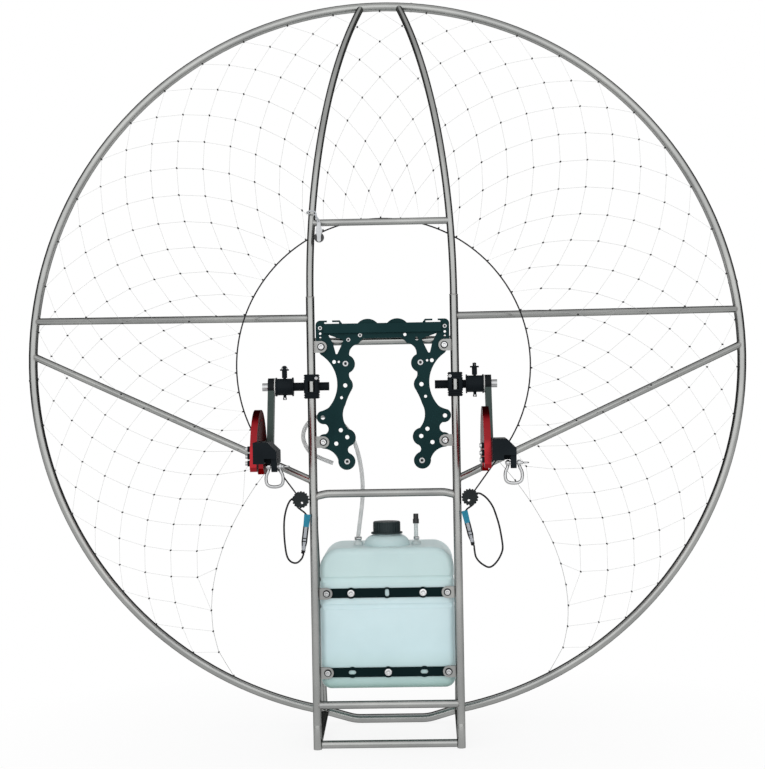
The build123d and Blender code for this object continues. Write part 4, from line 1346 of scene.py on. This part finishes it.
def setWorld():
    world = bpy.data.worlds.new("studio")
    bpy.context.scene.world = world
    world.use_nodes = True
    tree = world.node_tree
    tree.nodes.clear()
    fill = tree.nodes.new("ShaderNodeBackground")
    white = tree.nodes.new("ShaderNodeBackground")
    for shade in (fill, white):
        shade.inputs["Color"].default_value = (1, 1, 1, 1)
    straight, glossy = viewRays(tree)
    direction = tree.nodes.new("ShaderNodeTexCoord").outputs["Generated"]
    aside = sums(tree, "ABSOLUTE", axisOf(tree, direction, "X"))
    depth = axisOf(tree, direction, "Y")
    rise = axisOf(tree, direction, "Z")
    # mirrored rays see a bright wall in front, overhead and behind, and dim sides
    overhead = sums(tree, "MULTIPLY", rise, backdrop["overhead"])
    ahead = sums(tree, "MULTIPLY", depth, backdrop["ahead"])
    corner = sums(tree, "MULTIPLY", sums(tree, "MULTIPLY", aside, backdrop["corners"]), rise)
    facing = sums(tree, "SUBTRACT", sums(tree, "SUBTRACT", overhead, ahead), corner)
    front = spread(tree, facing, 0.0, 1.0, *backdrop["openFront"])
    back = spread(tree, depth, 0.0, 1.0, *backdrop["openBack"])
    mirrored = sums(tree, "MULTIPLY", glossy, sums(tree, "MAXIMUM", front, back))
    dim = sums(tree, "MULTIPLY", glossy, 1 - backdrop["dimSides"])
    level = sums(tree, "MULTIPLY", sums(tree, "SUBTRACT", 1.0, dim), backdrop["fill"])
    feed(tree, fill.inputs["Strength"], level)
    mixShaders(tree, sums(tree, "MAXIMUM", straight, mirrored), fill.outputs["Background"],
               white.outputs["Background"], tree.nodes.new("ShaderNodeOutputWorld"))


def setFloor():
    clearSelection()
    bpy.ops.mesh.primitive_plane_add(size=floorSet["size"])
    floor = bpy.context.object
    floor.name = "floor"
    material, tree, shader = startMaterial(
        "paleFloor", floorSet["colour"], floorSet["rough"], gloss=floorSet["gloss"])
    fromMiddle = tree.nodes.new("ShaderNodeVectorMath")
    fromMiddle.operation = "LENGTH"
    tree.links.new(objectCoords(tree), fromMiddle.inputs[0])
    far = spread(tree, fromMiddle.outputs["Value"], floorSet["glow"], 1.0, *floorSet["fade"])
    straight, glossy = viewRays(tree)
    seen = sums(tree, "MULTIPLY", sums(tree, "MAXIMUM", straight, glossy), far)
    glow = tree.nodes.new("ShaderNodeEmission")
    glow.inputs["Color"].default_value = (1, 1, 1, 1)
    mixShaders(tree, seen, shader.outputs["BSDF"], glow.outputs["Emission"], tree.nodes["Material Output"])
    paint(floor, material)


def setLamp():
    data = bpy.data.lights.new("frontLamp", "AREA")
    data.shape = "RECTANGLE"
    data.size, data.size_y = frontLamp["size"]
    data.energy = frontLamp["power"]
    lamp = bpy.data.objects.new("frontLamp", data)
    bpy.context.collection.objects.link(lamp)
    lamp.location = frontLamp["place"]
    aim = Vector(frontLamp["aim"]) - Vector(frontLamp["place"])
    lamp.rotation_euler = aim.to_track_quat("-Z", "Y").to_euler()


def setCamera():
    camera = bpy.data.objects.new("photoCamera", bpy.data.cameras.new("photoCamera"))
    bpy.context.collection.objects.link(camera)
    turn = math.radians(view["turn"])
    camera.location = (
        view["distance"] * math.sin(turn) + view["shiftX"],
        ladderY - view["distance"] * math.cos(turn),
        view["height"],
    )
    camera.rotation_euler = (math.radians(90), math.radians(view["roll"]), turn)
    camera.data.sensor_width = view["sensor"]
    camera.data.lens = view["focalPixels"] / view["frameHeight"] * view["sensor"]
    bpy.context.scene.camera = camera


setWorld()
setFloor()
setLamp()
setCamera()
bpy.context.scene.view_settings.view_transform = "Standard"
print("stage set")
